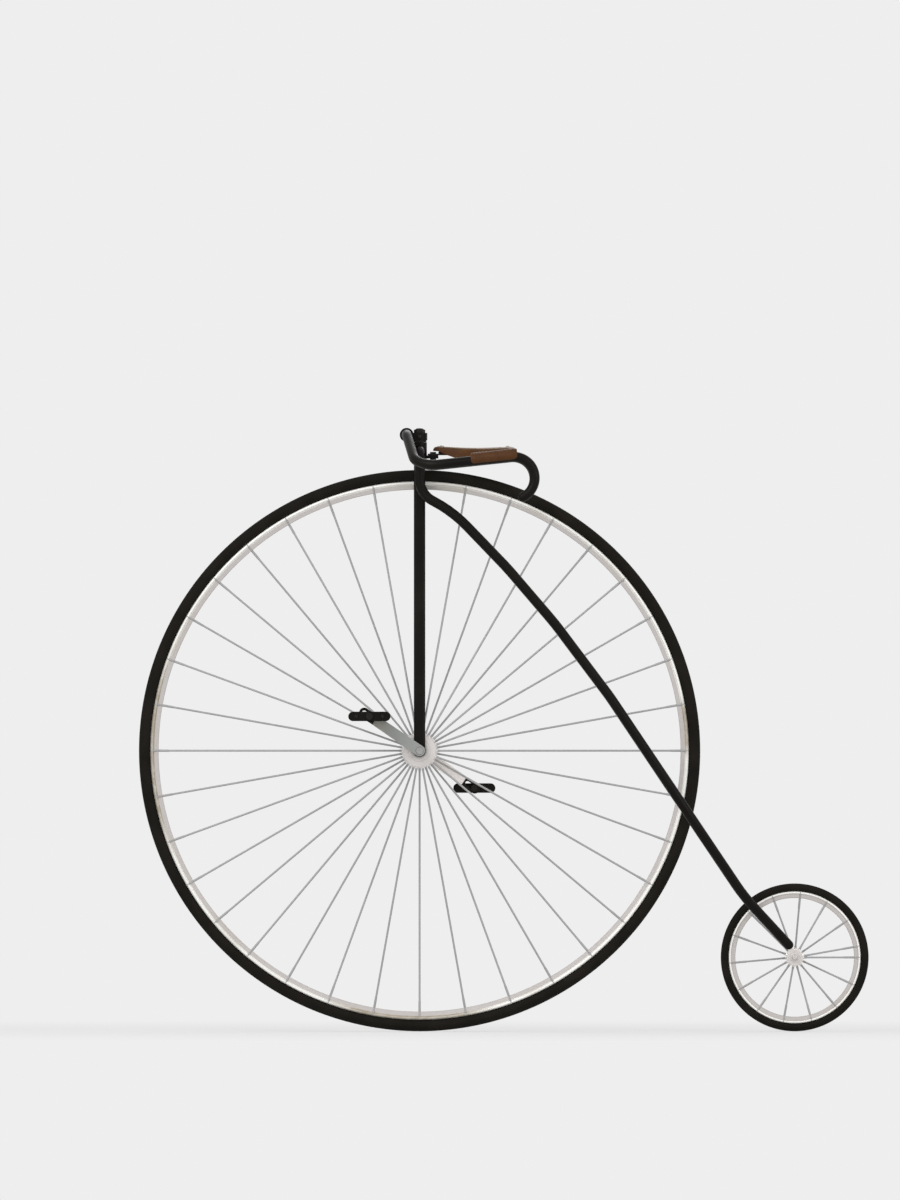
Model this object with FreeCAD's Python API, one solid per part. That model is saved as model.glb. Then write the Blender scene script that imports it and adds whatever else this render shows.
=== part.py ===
import FreeCAD, Part

import math
import os

os.makedirs("parts", exist_ok=True)

# Penny farthing bicycle. Millimetres, +Z up, forward is -X, the rider's left is -Y.
# The model is laid out from the front hub, with the steering axis on the Z axis, and each
# piece is moved at export so that the row's origin is on the middle of the saddle.

# ---- Driving dimensions: wheels ----
front_wheel_dia = 1372.0        # a 54 inch driving wheel
rear_wheel_dia = 361.5
wheelbase = 916.8               # steering axis to rear hub, along X
fit_clearance = 0.05            # radial, for shafts in their bores
seat_gap = 0.1                  # between curved faces bedded together on one body
face_gap = 0.3                  # between flat faces that turn against each other

# The two wheels. Lengths in millimetres; the first spoke's angle from +X and the pitch from
# spoke to spoke in degrees. What the pitch leaves of the circle is the last gap.
WHEELS = {
    "front": dict(
        tyre_dia=28.0, rim_depth=20.0, lip_depth=8.0, rim_width=20.0, foot_width=9.0,
        spoke_count=36, spoke_dia=5.2, first_angle=0.0, spoke_pitch=10.0,
        flange_dia=81.4, flange_mid=42.0, flange_thickness=8.0, barrel_dia=46.0,
        axle_dia=19.0),
    "rear": dict(
        tyre_dia=19.5, rim_depth=16.0, lip_depth=6.0, rim_width=14.0, foot_width=7.0,
        spoke_count=15, spoke_dia=4.8, first_angle=10.0, spoke_pitch=25.0,
        flange_dia=40.0, flange_mid=20.0, flange_thickness=9.0, barrel_dia=24.0,
        axle_dia=12.0),
}
tyre_sides = 8                  # flats round a tyre's section
spoke_sides = 6
spoke_root = 5.0                # how deep a spoke runs into its flange
spoke_gap = 0.5                 # a spoke's square-cut end to the rim's foot
overcut = 1.0                   # how far a cutting body stands out of what it cuts
steep = 0.9                     # rise per length from which a direction counts as upright
dome_knee = 40.0                # a domed end's two steps, in degrees round its curve
dome_tip = 75.0
tube_sides = 12                 # flats round a bent tube's section

# ---- Driving dimensions: head and fork ----
crown_clearance = 6.0           # tyre top to the underside of the fork crown
crown_height = 16.0
crown_half_length = 42.0
race_height = 5.0
race_dia = 34.0
head_height = 40.0
head_dia = 36.0
steerer_dia = 22.0
lug_collar_height = 18.0
lug_collar_dia = 38.0
lug_web_half = 18.0             # half the width of the web from the collar to the bar's eye
nut_height = 8.0
nut_dia = 28.0
steering_angle = 12.0           # each way, in degrees

blade_width = 28.0              # fore and aft
blade_thickness = 14.0
blade_top_half = 30.0           # half the spread of the blades at the crown
blade_bottom_half = 60.0        # and at the hub
fork_end_length = 18.0          # bearing housing, along the axle
fork_end_dia = 30.0
fork_end_mid = 61.0

# ---- Driving dimensions: cranks and pedals ----
crank_reach = 164.0             # front axle to the outer end of the pin's slot
crank_slot = 22.0               # travel of the pin along its slot
crank_angle = 34.5              # below the horizontal on the right, above it on the left
crank_inner = 76.0              # inner face, from the middle of the machine
crank_thickness = 10.0
crank_hub_dia = 27.0
crank_tip_dia = 25.0
pin_dia = 11.0
pedal_gap = 6.0                 # crank to pedal
pedal_length = 103.0            # fore and aft
pedal_height = 23.0
pedal_width = 86.0              # along the pin
pedal_plate = 4.0
pedal_rubber_length = 36.0
pedal_rubber_set_back = 1.5     # end of the frame to the end of the rubber
pedal_rubber_set_down = 1.0     # edge of the frame to the tread
pedal_barrel_dia = 19.0
pin_head = 5.0
pin_head_dia = 17.0
# Front axle to pin, as each one is clamped in its slot: left (-1) and right (1).
PIN_SETTING = {-1: 148.5, 1: 162.5}

# ---- Driving dimensions: backbone ----
tube_dia = 24.0
moving_clearance = 5.0          # least gap between the backbone and what turns in it
horseshoe_half = 64.0           # half the spread of the two tubes beside the fork
horseshoe_bend = 30.0
shoulder_drop = 64.4            # crown underside to the turn in front of the wheel's top
shoulder_bend = 60.0
rear_end_reach = 34.1           # rear hub to the middle of each tube's rounded end
rear_end_angle = 116.4          # its direction from the rear hub, in degrees from +X
rear_half = 38.0                # half the spread of the tubes at the rear hub
socket_dia = 31.0
socket_reach = 33.0
socket_floor = 2.0              # wall left between a socket and the head's outside
bridge_dia = 18.0
bridge_share = 0.6              # its place between the widest bend and the next

# The backbone's bends, from the shoulder to the rear end. Columns: share of the chord,
# rise above the chord, bend radius. The two tubes stand widest at the bend of that name.
BACKBONE_BENDS = {
    "first": (0.059, 35.5, 330.0),
    "second": (0.195, 51.1, 700.0),
    "third": (0.319, 55.1, 700.0),
    "fourth": (0.476, 45.9, 700.0),
    "widest": (0.721, 12.8, 250.0),
    "last": (0.888, -9.6, 500.0),
}
widest_allowance = 6.5          # what the bend there takes off the corner

# ---- Driving dimensions: rear lugs and axle ----
lug_eye_dia = 40.0
lug_thickness = 9.0
lug_tenon_width = 14.0          # the tenon that fills the slot in the tube's end
lug_tenon_depth = 14.0
rear_nut_dia = 22.0
rear_nut_height = 8.0
axle_stub_dia = 10.0
axle_stub_length = 8.0          # turned end of the rear axle beyond its nut

# ---- Driving dimensions: handlebar ----
bar_x = -31.5                   # the bar lies ahead of the steerer
bar_above_collar = 13.2         # bar centre above the foot of the lug's collar
bar_lug_dia = 34.0
bar_lug_half = 22.0
bar_straight = 120.0            # half width of the straight middle
bar_half = 262.0                # half width at the grips
bar_corner_x = -8.0
bar_drop_bend = 80.0
bar_corner_bend = 60.0
bar_rise_angle = 6.0            # the grips rise towards their ends
hook_radius = 52.0
hook_x = 229.0                  # centre of the hook
hook_below_saddle = 75.2        # its height under the saddle's top
hook_end_angle = -62.0
hook_tail = 2.0                 # straight stretch after the hook
grip_dia = 32.0
grip_offset = 4.5               # the grip stands higher than its tube
grip_start_x = 125.0
grip_end_x = 239.0

# ---- Driving dimensions: saddle ----
saddle_x = 140.0                # the rider's mount, from the steering axis
saddle_above_tyre = 55.0        # top of the saddle above the top of the tyre
saddle_nose_x = 32.0
saddle_cantle_x = 236.0
saddle_nose_half = 24.0
saddle_cantle_half = 92.0
# Points along one side of the saddle. Columns: share of its length from the nose, share
# of the growth from the nose's half width to the cantle's.
SADDLE_SIDE = {
    "neck": (0.26, 0.07),
    "waist": (0.43, 0.32),
    "swell": (0.57, 0.68),
    "hip": (0.755, 1.0),
    "corner": (0.91, 0.88),
}
leather_thickness = 10.0
skirt_thickness = 5.0
skirt_depth = 36.0              # saddle top to the lowest point of its side skirts
skirt_arc_radius = 260.0
skirt_arc_back = 75.0           # lowest point of the skirts, ahead of the cantle
pan_inset = 9.0                 # skirt to the steel pan inside it
pan_thickness = 5.0
pan_rail = 11.0
pan_window_front = 40.0         # the pan's opening runs from this far ahead of the mount
pan_window_back = 52.0          # to this far ahead of the cantle
spring_width = 30.0
spring_thickness = 4.0
spring_sag = 12.0
spring_bend = 40.0
spring_middle_bend = 160.0
spring_flat = 26.0              # level stretch at each end of the spring
spring_low_ahead = 18.0         # its lowest bend, ahead of the mount
spring_end_back = 24.0          # its tail, ahead of the cantle
tongue_thickness = 8.0
tongue_x = 46.0
saddle_bolt_x = 33.0
saddle_bolt_dia = 8.0
saddle_bolt_head_dia = 15.0
saddle_bolt_head = 4.0

# ---- Places worked out from the sizes above ----
front_radius = front_wheel_dia / 2
rear_radius = rear_wheel_dia / 2
rear_hub = FreeCAD.Vector(wheelbase, 0, rear_radius - front_radius)
crown_bottom = front_radius + crown_clearance
crown_top = crown_bottom + crown_height
head_bottom = crown_top + race_height + face_gap
head_top = head_bottom + head_height
cone_top = head_top + face_gap + race_height
collar_top = cone_top + lug_collar_height
nut_top = collar_top + nut_height
head_middle = (head_bottom + head_top) / 2
saddle_top = front_radius + saddle_above_tyre
bar_z = cone_top + bar_above_collar
tube_radius = tube_dia / 2
pan_top = saddle_top - leather_thickness
pan_bottom = pan_top - pan_thickness
tongue_top = pan_bottom - spring_thickness
row_origin = FreeCAD.Vector(saddle_x, 0, saddle_top)
SIDES = {"left": -1, "right": 1}
Y_AXIS = FreeCAD.Vector(0, 1, 0)


# ---- Helpers ----
def vec(x, y, z):
    return FreeCAD.Vector(x, y, z)


def save(node, *solids):
    """Write one node, moved so that the saddle's mount is the origin."""
    shape = solids[0] if len(solids) == 1 else Part.makeCompound(list(solids))
    shape = shape.copy()
    shape.translate(row_origin.negative())
    shape.exportStep("parts/" + node + ".step")


def fused(*solids):
    return solids[0].fuse(list(solids[1:])).removeSplitter().Solids[0]


def rod(radius, start, end):
    axis = end - start
    return Part.makeCylinder(radius, axis.Length, start, axis)


def cross_rod(radius, y_low, y_high, x=0.0, z=0.0):
    """A cylinder along Y."""
    return rod(radius, vec(x, y_low, z), vec(x, y_high, z))


def upright(radius, z_low, z_high, x=0.0, y=0.0):
    return rod(radius, vec(x, y, z_low), vec(x, y, z_high))


def cross_bore(radius, y_low, y_high, x=0.0, z=0.0):
    """The cutter for a hole along Y, standing out at both ends."""
    return cross_rod(radius, y_low - overcut, y_high + overcut, x, z)


def upright_bore(radius, z_low, z_high, x=0.0, y=0.0):
    return upright(radius, z_low - overcut, z_high + overcut, x, y)


def box(x, y, z):
    """A block from its three (low, high) pairs."""
    return Part.makeBox(x[1] - x[0], y[1] - y[0], z[1] - z[0], vec(x[0], y[0], z[0]))


def mirrored(shape, side):
    """The piece for one side, from the piece modelled on the right."""
    return shape if side > 0 else shape.mirror(vec(0, 0, 0), Y_AXIS)


def rounded_path(points, radii):
    """Straight runs through the points, with a tangent arc at each inner one."""
    edges = []
    last = points[0]
    for before, corner, after, radius in zip(points, points[1:], points[2:], radii):
        back = (before - corner).normalize()
        on = (after - corner).normalize()
        half = back.getAngle(on) / 2
        reach = radius / math.tan(half)
        middle = (back + on).normalize() * (radius / math.sin(half) - radius)
        start = corner + back * reach
        end = corner + on * reach
        edges.append(Part.makeLine(last, start))
        edges.append(Part.Arc(start, corner + middle, end).toShape())
        last = end
    edges.append(Part.makeLine(last, points[-1]))
    return edges


def many_sided(centre, along, radius, sides):
    """A regular polygon across a direction, with its corners on the given radius."""
    upward = vec(0, 0, 1) if abs(along.z) < steep * along.Length else vec(1, 0, 0)
    across = along.cross(upward).normalize()
    other = along.cross(across).normalize()
    corners = []
    for index in range(sides):
        angle = math.radians((index + 0.5) * 360.0 / sides)
        corners.append(centre + (across * math.cos(angle) + other * math.sin(angle)) * radius)
    return Part.Face(Part.makePolygon(corners + corners[:1]))


def hexagon_bar(centre, along, corner_dia):
    return many_sided(centre, along, corner_dia / 2, 6).extrude(along)


def bent_tube(points, radii, radius):
    """A tube along a route: its runs are extruded and its bends turned about their centres."""
    section = many_sided(points[0], points[1] - points[0], radius, tube_sides)
    pieces = []
    last = points[0]
    for before, corner, after, bend in zip(points, points[1:], points[2:], radii):
        along = (corner - before).normalize()
        onward = (after - corner).normalize()
        turn = along.getAngle(onward)
        run = corner - along * (bend * math.tan(turn / 2)) - last
        if run.Length > seat_gap:
            pieces.append(section.extrude(run))
            section.translate(run)
        last = last + run
        axis = along.cross(onward).normalize()
        centre = last + axis.cross(along) * bend
        pieces.append(section.revolve(centre, axis, math.degrees(turn)))
        section.rotate(centre, axis, math.degrees(turn))
        last = corner + onward * (bend * math.tan(turn / 2))
    pieces.append(section.extrude(points[-1] - last))
    return fused(*pieces)


def domed_end(start, along, radius):
    """A rounded end in two steps, as deep as its radius."""
    waist = radius * math.cos(math.radians(dome_knee))
    knee = radius * math.sin(math.radians(dome_knee))
    tip = radius * math.cos(math.radians(dome_tip))
    reach = radius * math.sin(math.radians(dome_tip))
    along = along / along.Length
    lower = Part.makeCone(radius, waist, knee, start, along)
    upper = Part.makeCone(waist, tip, reach - knee, start + along * knee, along)
    return fused(lower, upper)


def revolved(section, centre):
    """A ring or spool about the Y axis, from its section's (radius, y) corners."""
    corners = [centre + vec(radius, y, 0) for radius, y in section]
    face = Part.Face(Part.makePolygon(corners + corners[:1]))
    return face.revolve(centre, Y_AXIS, 360)


def stadium(start, end, start_radius, end_radius, y_low, y_high):
    """A link in the XZ plane: two round ends joined by their common tangents."""
    axis = end - start
    length = axis.Length
    along = math.atan2(axis.z, axis.x)
    lean = math.acos((start_radius - end_radius) / length)

    def on_end(centre, radius, angle):
        return centre + vec(radius * math.cos(angle), 0, radius * math.sin(angle))

    a = on_end(start, start_radius, along + lean)
    b = on_end(end, end_radius, along + lean)
    c = on_end(end, end_radius, along - lean)
    d = on_end(start, start_radius, along - lean)
    edges = [
        Part.makeLine(a, b),
        Part.Arc(b, on_end(end, end_radius, along), c).toShape(),
        Part.makeLine(c, d),
        Part.Arc(d, on_end(start, start_radius, along + math.pi), a).toShape(),
    ]
    plate = Part.Face(Part.Wire(edges)).extrude(vec(0, y_high - y_low, 0))
    plate.translate(vec(0, y_low, 0))
    return plate


# ---- Wheels ----
def rim_seat(row, radius):
    """Radius of the rim's outside, just under the tyre."""
    return radius - row["tyre_dia"] - seat_gap


def tyre(row, centre, radius):
    """A solid tyre with a flat tread and a flat foot."""
    middle = radius - row["tyre_dia"] / 2
    corner = row["tyre_dia"] / 2 / math.cos(math.pi / tyre_sides)
    section = []
    for index in range(tyre_sides):
        angle = (index + 0.5) * 2 * math.pi / tyre_sides
        section.append((middle + corner * math.cos(angle), corner * math.sin(angle)))
    return revolved(section, centre)


def rim(row, centre, radius):
    """A square lip under the tyre, and a body that narrows to the spokes."""
    seat = rim_seat(row, radius)
    lip = seat - row["lip_depth"]
    foot = seat - row["rim_depth"]
    half = row["rim_width"] / 2
    foot_half = row["foot_width"] / 2
    return revolved([(seat, -half), (seat, half), (lip, half), (foot, foot_half),
                     (foot, -foot_half), (lip, -half)], centre)


def spoke(row, centre, radius, index):
    """One spoke, from inside its flange to the rim; they leave the two flanges in turn."""
    angle = math.radians(row["first_angle"] + index * row["spoke_pitch"])
    side = -1 if index % 2 == 0 else 1
    outward = vec(math.cos(angle), 0, math.sin(angle))
    root = centre + outward * (row["flange_dia"] / 2 - spoke_root)
    root.y = side * row["flange_mid"]
    tip = centre + outward * (rim_seat(row, radius) - row["rim_depth"] - spoke_gap)
    along = tip - root
    return many_sided(root, along, row["spoke_dia"] / 2, spoke_sides).extrude(along)


def spoked_hub(row, centre, radius):
    """A spool with two flanges and all its spokes."""
    bore = row["axle_dia"] / 2 + fit_clearance
    outer = row["flange_dia"] / 2
    barrel = row["barrel_dia"] / 2
    out_y = row["flange_mid"] + row["flange_thickness"] / 2
    in_y = row["flange_mid"] - row["flange_thickness"] / 2
    spool = revolved([
        (bore, -out_y), (outer, -out_y), (outer, -in_y), (barrel, -in_y),
        (barrel, in_y), (outer, in_y), (outer, out_y), (bore, out_y)], centre)
    spokes = [spoke(row, centre, radius, index) for index in range(row["spoke_count"])]
    return fused(spool, *spokes)


def make_wheels():
    places = {"front": (vec(0, 0, 0), front_radius), "rear": (rear_hub, rear_radius)}
    for name, row in WHEELS.items():
        centre, radius = places[name]
        save(name + "_tyre", tyre(row, centre, radius))
        save(name + "_rim", rim(row, centre, radius))
        save(name + "_spoked_hub", spoked_hub(row, centre, radius))


# ---- Cranks and pedals ----
def crank_pin(side):
    """Centre of a pedal pin in the side view."""
    angle = math.radians(180.0 - crank_angle) if side < 0 else math.radians(-crank_angle)
    return vec(math.cos(angle), 0, math.sin(angle)) * PIN_SETTING[side]


def crank(side):
    """A flat slotted crank, modelled on the right."""
    along = crank_pin(side).normalize()
    tip = along * crank_reach
    outer = crank_inner + crank_thickness
    axle_radius = WHEELS["front"]["axle_dia"] / 2
    arm = stadium(vec(0, 0, 0), tip, crank_hub_dia / 2, crank_tip_dia / 2, crank_inner, outer)
    slot_radius = pin_dia / 2 + fit_clearance
    slot = stadium(along * (crank_reach - crank_slot), tip, slot_radius, slot_radius,
                   crank_inner - overcut, outer + overcut)
    bore = cross_bore(axle_radius + fit_clearance, crank_inner, outer)
    return arm.cut([slot, bore])


def pedal_pin(side):
    """A stepped pin: hexagon nut, shank through the slot, collar, journal and end cap."""
    pin = crank_pin(side)
    outer = crank_inner + crank_thickness
    pedal_in = outer + pedal_gap
    pedal_out = pedal_in + pedal_width
    collar_out = pedal_in - face_gap
    cap_in = pedal_out + face_gap
    nut_in = pin + vec(0, crank_inner - pin_head, 0)
    return fused(
        hexagon_bar(nut_in, vec(0, pin_head, 0), pin_head_dia),
        cross_rod(pin_dia / 2, crank_inner - pin_head, cap_in + pin_head, pin.x, pin.z),
        cross_rod(pin_head_dia / 2, outer, collar_out, pin.x, pin.z),
        cross_rod(pin_head_dia / 2, cap_in, cap_in + pin_head, pin.x, pin.z))


def pedal_span():
    start = crank_inner + crank_thickness + pedal_gap
    return start, start + pedal_width


def pedal_frame(side):
    """Two end plates on a barrel that turns on the pin."""
    pin = crank_pin(side)
    low, high = pedal_span()
    radius = pedal_height / 2
    reach = vec(pedal_length / 2 - radius, 0, 0)
    plates = [
        stadium(pin - reach, pin + reach, radius, radius, y, y + pedal_plate)
        for y in (low, high - pedal_plate)]
    barrel = cross_rod(pedal_barrel_dia / 2, low, high, pin.x, pin.z)
    bore = cross_bore(pin_dia / 2 + fit_clearance, low, high, pin.x, pin.z)
    return fused(barrel, *plates).cut(bore)


def pedal_rubbers(side):
    """Two tread blocks between the end plates."""
    pin = crank_pin(side)
    low, high = pedal_span()
    blocks = []
    for way in (-1, 1):
        outer_x = pedal_length / 2 - pedal_rubber_set_back
        middle_x = pin.x + way * (outer_x - pedal_rubber_length / 2)
        half = pedal_height / 2 - pedal_rubber_set_down
        reach = vec(pedal_rubber_length / 2 - half, 0, 0)
        middle = vec(middle_x, 0, pin.z)
        blocks.append(stadium(middle - reach, middle + reach, half, half,
                              low + pedal_plate, high - pedal_plate))
    return blocks


def make_drive():
    end = crank_inner + crank_thickness
    save("front_axle", cross_rod(WHEELS["front"]["axle_dia"] / 2, -end, end))
    for name, side in SIDES.items():
        save("crank_" + name, mirrored(crank(side), side))
        save("pedal_pin_" + name, mirrored(pedal_pin(side), side))
        save("pedal_frame_" + name, mirrored(pedal_frame(side), side))
        save("pedal_rubbers_" + name, *[mirrored(b, side) for b in pedal_rubbers(side)])


# ---- Backbone ----
def backbone_points():
    """Corners of the right tube's route, from the head to the rear lug."""
    shoulder = vec(0, horseshoe_half, crown_bottom - shoulder_drop)
    angle = math.radians(rear_end_angle)
    rear_end = rear_hub + vec(math.cos(angle), 0, math.sin(angle)) * rear_end_reach
    rear_end.y = rear_half
    chord = vec(rear_end.x - shoulder.x, 0, rear_end.z - shoulder.z)
    rise = vec(-chord.z, 0, chord.x).normalize()
    corners = {name: shoulder + chord * share + rise * height
               for name, (share, height, _) in BACKBONE_BENDS.items()}
    widest = corners["widest"]
    swing = math.radians(steering_angle)
    beside_tyre = (widest.x * math.tan(swing) + WHEELS["front"]["tyre_dia"] / 2
                   + moving_clearance + tube_radius)
    widest.y = beside_tyre + widest_allowance
    for corner in corners.values():
        if corner.x <= widest.x:
            share = corner.x / widest.x
            corner.y = horseshoe_half + (widest.y - horseshoe_half) * share
        else:
            share = (corner.x - widest.x) / (rear_end.x - widest.x)
            corner.y = widest.y + (rear_half - widest.y) * share
    head_side = vec(0, head_dia / 2 + socket_floor, head_middle)
    head_corner = vec(0, horseshoe_half, head_middle)
    return [head_side, head_corner, shoulder] + list(corners.values()) + [rear_end]


def backbone_tube(extra):
    """The right tube, grown by extra all round."""
    radii = [horseshoe_bend, shoulder_bend] + [row[2] for row in BACKBONE_BENDS.values()]
    return bent_tube(backbone_points(), radii, tube_radius + extra)


def backbone():
    """The right tube with its rounded end, slotted for the lug."""
    points = backbone_points()
    end = domed_end(points[-1], points[-1] - points[-2], tube_radius)
    return fused(backbone_tube(0), end).cut(lug_tenon(seat_gap))


def head_tube():
    """The head casting: steerer bore, two side sockets and the saddle spring's tongue."""
    head = upright(head_dia / 2, head_bottom, head_top)
    sockets = cross_rod(socket_dia / 2, -socket_reach, socket_reach, 0, head_middle)
    tongue = box((0, tongue_x), (-spring_width / 2, spring_width / 2),
                 (tongue_top - tongue_thickness, tongue_top))
    cuts = [upright_bore(steerer_dia / 2 + fit_clearance, head_bottom, head_top),
            upright_bore(saddle_bolt_dia / 2 + fit_clearance, tongue_top - tongue_thickness,
                         tongue_top, saddle_bolt_x)]
    for side in SIDES.values():
        floor = side * (head_dia / 2 + socket_floor)
        mouth = side * (socket_reach + overcut)
        cuts.append(cross_rod(tube_radius + fit_clearance, min(floor, mouth),
                              max(floor, mouth), 0, head_middle))
    return fused(head, sockets, tongue).cut(cuts)


def bridge():
    """A cross tube, coped to the two sides, that ties them together between the wheels."""
    before, after = backbone_points()[-3:-1]
    middle = before + (after - before) * bridge_share
    bar = cross_rod(bridge_dia / 2, -middle.y, middle.y, middle.x, middle.z)
    sides = [mirrored(backbone_tube(seat_gap), side) for side in SIDES.values()]
    pieces = bar.cut(sides).Solids
    return min(pieces, key=lambda piece: abs(piece.CenterOfMass.y))


def lug_tenon(extra):
    """The lug's neck and tenon, from the rear hub up into the tube's slot."""
    end = backbone_points()[-1]
    centre = vec(rear_hub.x, 0, rear_hub.z)
    along = (vec(end.x, 0, end.z) - centre).normalize()
    tip = centre + along * (rear_end_reach + lug_tenon_depth - lug_tenon_width / 2)
    half = lug_thickness / 2 + extra
    radius = lug_tenon_width / 2 + extra
    return stadium(centre, tip, radius, radius, rear_half - half, rear_half + half)


def rear_lug():
    """An eye on the axle, with a tenon that fills the tube's slot."""
    low = rear_half - lug_thickness / 2
    high = rear_half + lug_thickness / 2
    eye = cross_rod(lug_eye_dia / 2, low, high, rear_hub.x, rear_hub.z)
    bore = cross_bore(WHEELS["rear"]["axle_dia"] / 2 + fit_clearance, low, high,
                      rear_hub.x, rear_hub.z)
    return fused(eye, lug_tenon(0)).cut(bore)


def rear_axle(radius, nut_outside):
    """A fixed axle with a turned stub beyond each nut."""
    end = nut_outside + axle_stub_length
    return fused(cross_rod(radius, -nut_outside, nut_outside, rear_hub.x, rear_hub.z),
                 cross_rod(axle_stub_dia / 2, -end, end, rear_hub.x, rear_hub.z))


def rear_nut(radius, low, high):
    start = vec(rear_hub.x, low, rear_hub.z)
    nut = hexagon_bar(start, vec(0, high - low, 0), rear_nut_dia)
    return nut.cut(cross_bore(radius + fit_clearance, low, high, rear_hub.x, rear_hub.z))


def make_frame():
    radius = WHEELS["rear"]["axle_dia"] / 2
    low = rear_half + lug_thickness / 2
    high = low + rear_nut_height
    save("head_tube", head_tube())
    save("backbone_bridge", bridge())
    save("rear_axle", rear_axle(radius, high))
    for name, side in SIDES.items():
        save("backbone_" + name, mirrored(backbone(), side))
        save("rear_lug_" + name, mirrored(rear_lug(), side))
    save("rear_axle_nuts", *[mirrored(rear_nut(radius, low, high), side)
                             for side in SIDES.values()])


# ---- Fork and steering ----
def blade():
    """One fork blade: a flat-sided oval bar that leans out to its bearing housing."""
    top = vec(0, blade_top_half, crown_bottom)
    foot = vec(0, blade_bottom_half, 0)
    along = (foot - top).normalize()
    sideways = along.cross(vec(1, 0, 0))
    half_round = blade_thickness / 2
    reach = blade_width / 2 - half_round
    outline = [(reach, half_round), (reach + half_round, 0), (reach, -half_round),
               (-reach, -half_round), (-reach - half_round, 0), (-reach, half_round)]
    start = top - along * blade_thickness
    at = [start + vec(x, 0, 0) + sideways * y for x, y in outline]
    section = Part.Face(Part.Wire([
        Part.Arc(at[0], at[1], at[2]).toShape(), Part.makeLine(at[2], at[3]),
        Part.Arc(at[3], at[4], at[5]).toShape(), Part.makeLine(at[5], at[0])]))
    bar = section.extrude(foot - start)
    above = box((-blade_width, blade_width), (0, blade_bottom_half),
                (crown_bottom, crown_bottom + blade_width))
    housing = cross_rod(fork_end_dia / 2 + seat_gap, 0, 2 * fork_end_mid)
    return bar.cut([above, housing]).Solids[0]


def fork_end():
    """Bearing housing round the front axle."""
    low = fork_end_mid - fork_end_length / 2
    high = fork_end_mid + fork_end_length / 2
    bore = cross_bore(WHEELS["front"]["axle_dia"] / 2 + fit_clearance, low, high)
    return cross_rod(fork_end_dia / 2, low, high).cut(bore)


def ring(outer_radius, inner_radius, z_low, z_high):
    return upright(outer_radius, z_low, z_high).cut(upright_bore(inner_radius, z_low, z_high))


def fork_crown():
    half = crown_half_length - blade_width / 2
    bar = box((-blade_width / 2, blade_width / 2), (-half, half), (crown_bottom, crown_top))
    ends = [upright(blade_width / 2, crown_bottom, crown_top, 0, side * half)
            for side in SIDES.values()]
    bore = upright_bore(steerer_dia / 2 + fit_clearance, crown_bottom, crown_top)
    return fused(bar, *ends).cut(bore)


def handlebar_lug():
    """A collar clamped on the steerer, with an eye for the bar ahead of it."""
    collar = upright(lug_collar_dia / 2, cone_top, collar_top)
    eye = cross_rod(bar_lug_dia / 2, -bar_lug_half, bar_lug_half, bar_x, bar_z)
    web = box((bar_x, 0), (-lug_web_half, lug_web_half), (cone_top, collar_top))
    steerer_hole = upright_bore(steerer_dia / 2 + fit_clearance, cone_top, collar_top)
    bar_hole = cross_bore(tube_radius + fit_clearance, -bar_lug_half, bar_lug_half, bar_x, bar_z)
    return fused(collar, eye, web).cut([steerer_hole, bar_hole]).Solids[0]


def handlebar(extra):
    """The right half of the bar, from the middle out and back to the hooked end."""
    start_angle = math.pi / 2 + math.radians(bar_rise_angle)
    half_turn = (start_angle - math.radians(hook_end_angle)) / 2
    reach = hook_radius * math.tan(half_turn / 2)

    def on_hook(angle, ahead):
        """A point of the hook's circle, moved ahead along its tangent."""
        return vec(hook_x + hook_radius * math.cos(angle) + ahead * math.sin(angle), bar_half,
                   saddle_top - hook_below_saddle
                   + hook_radius * math.sin(angle) - ahead * math.cos(angle))

    hook_start = on_hook(start_angle, 0)
    fall = (hook_start.x - bar_corner_x) * math.tan(math.radians(bar_rise_angle))
    points = [
        vec(bar_x, 0, bar_z), vec(bar_x, bar_straight, bar_z),
        vec(bar_corner_x, bar_half, hook_start.z - fall),
        on_hook(start_angle, reach), on_hook(start_angle - half_turn, reach),
        on_hook(start_angle - 2 * half_turn, hook_tail)]
    radii = [bar_drop_bend, bar_corner_bend, hook_radius, hook_radius]
    bar = bent_tube(points, radii, tube_radius + extra)
    return fused(bar, domed_end(points[-1], points[-1] - points[-2], tube_radius + extra))


def grip():
    """A sleeve that stands higher than its tube."""
    slope = math.tan(math.radians(bar_rise_angle))
    top_z = saddle_top - hook_below_saddle + hook_radius + grip_offset
    ends = [vec(x, bar_half, top_z - (hook_x - x) * slope) for x in (grip_start_x, grip_end_x)]
    return rod(grip_dia / 2, *ends).cut(handlebar(fit_clearance)).Solids[0]


def lock_nut():
    nut = hexagon_bar(vec(0, 0, collar_top), vec(0, 0, nut_height), nut_dia)
    return nut.cut(upright_bore(steerer_dia / 2 + fit_clearance, collar_top, nut_top))


def make_fork():
    bore = steerer_dia / 2 + fit_clearance
    save("fork_crown", fork_crown())
    save("steerer", upright(steerer_dia / 2, crown_bottom, nut_top))
    save("crown_race", ring(race_dia / 2, bore, crown_top, head_bottom - face_gap))
    save("top_cone", ring(race_dia / 2, bore, head_top + face_gap, cone_top))
    save("handlebar_lug", handlebar_lug())
    save("lock_nut", lock_nut())
    for name, side in SIDES.items():
        save("fork_blade_" + name, mirrored(blade(), side))
        save("fork_end_" + name, mirrored(fork_end(), side))
        save("handlebar_" + name, mirrored(handlebar(0), side))
        save("grip_" + name, mirrored(grip(), side))


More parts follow.
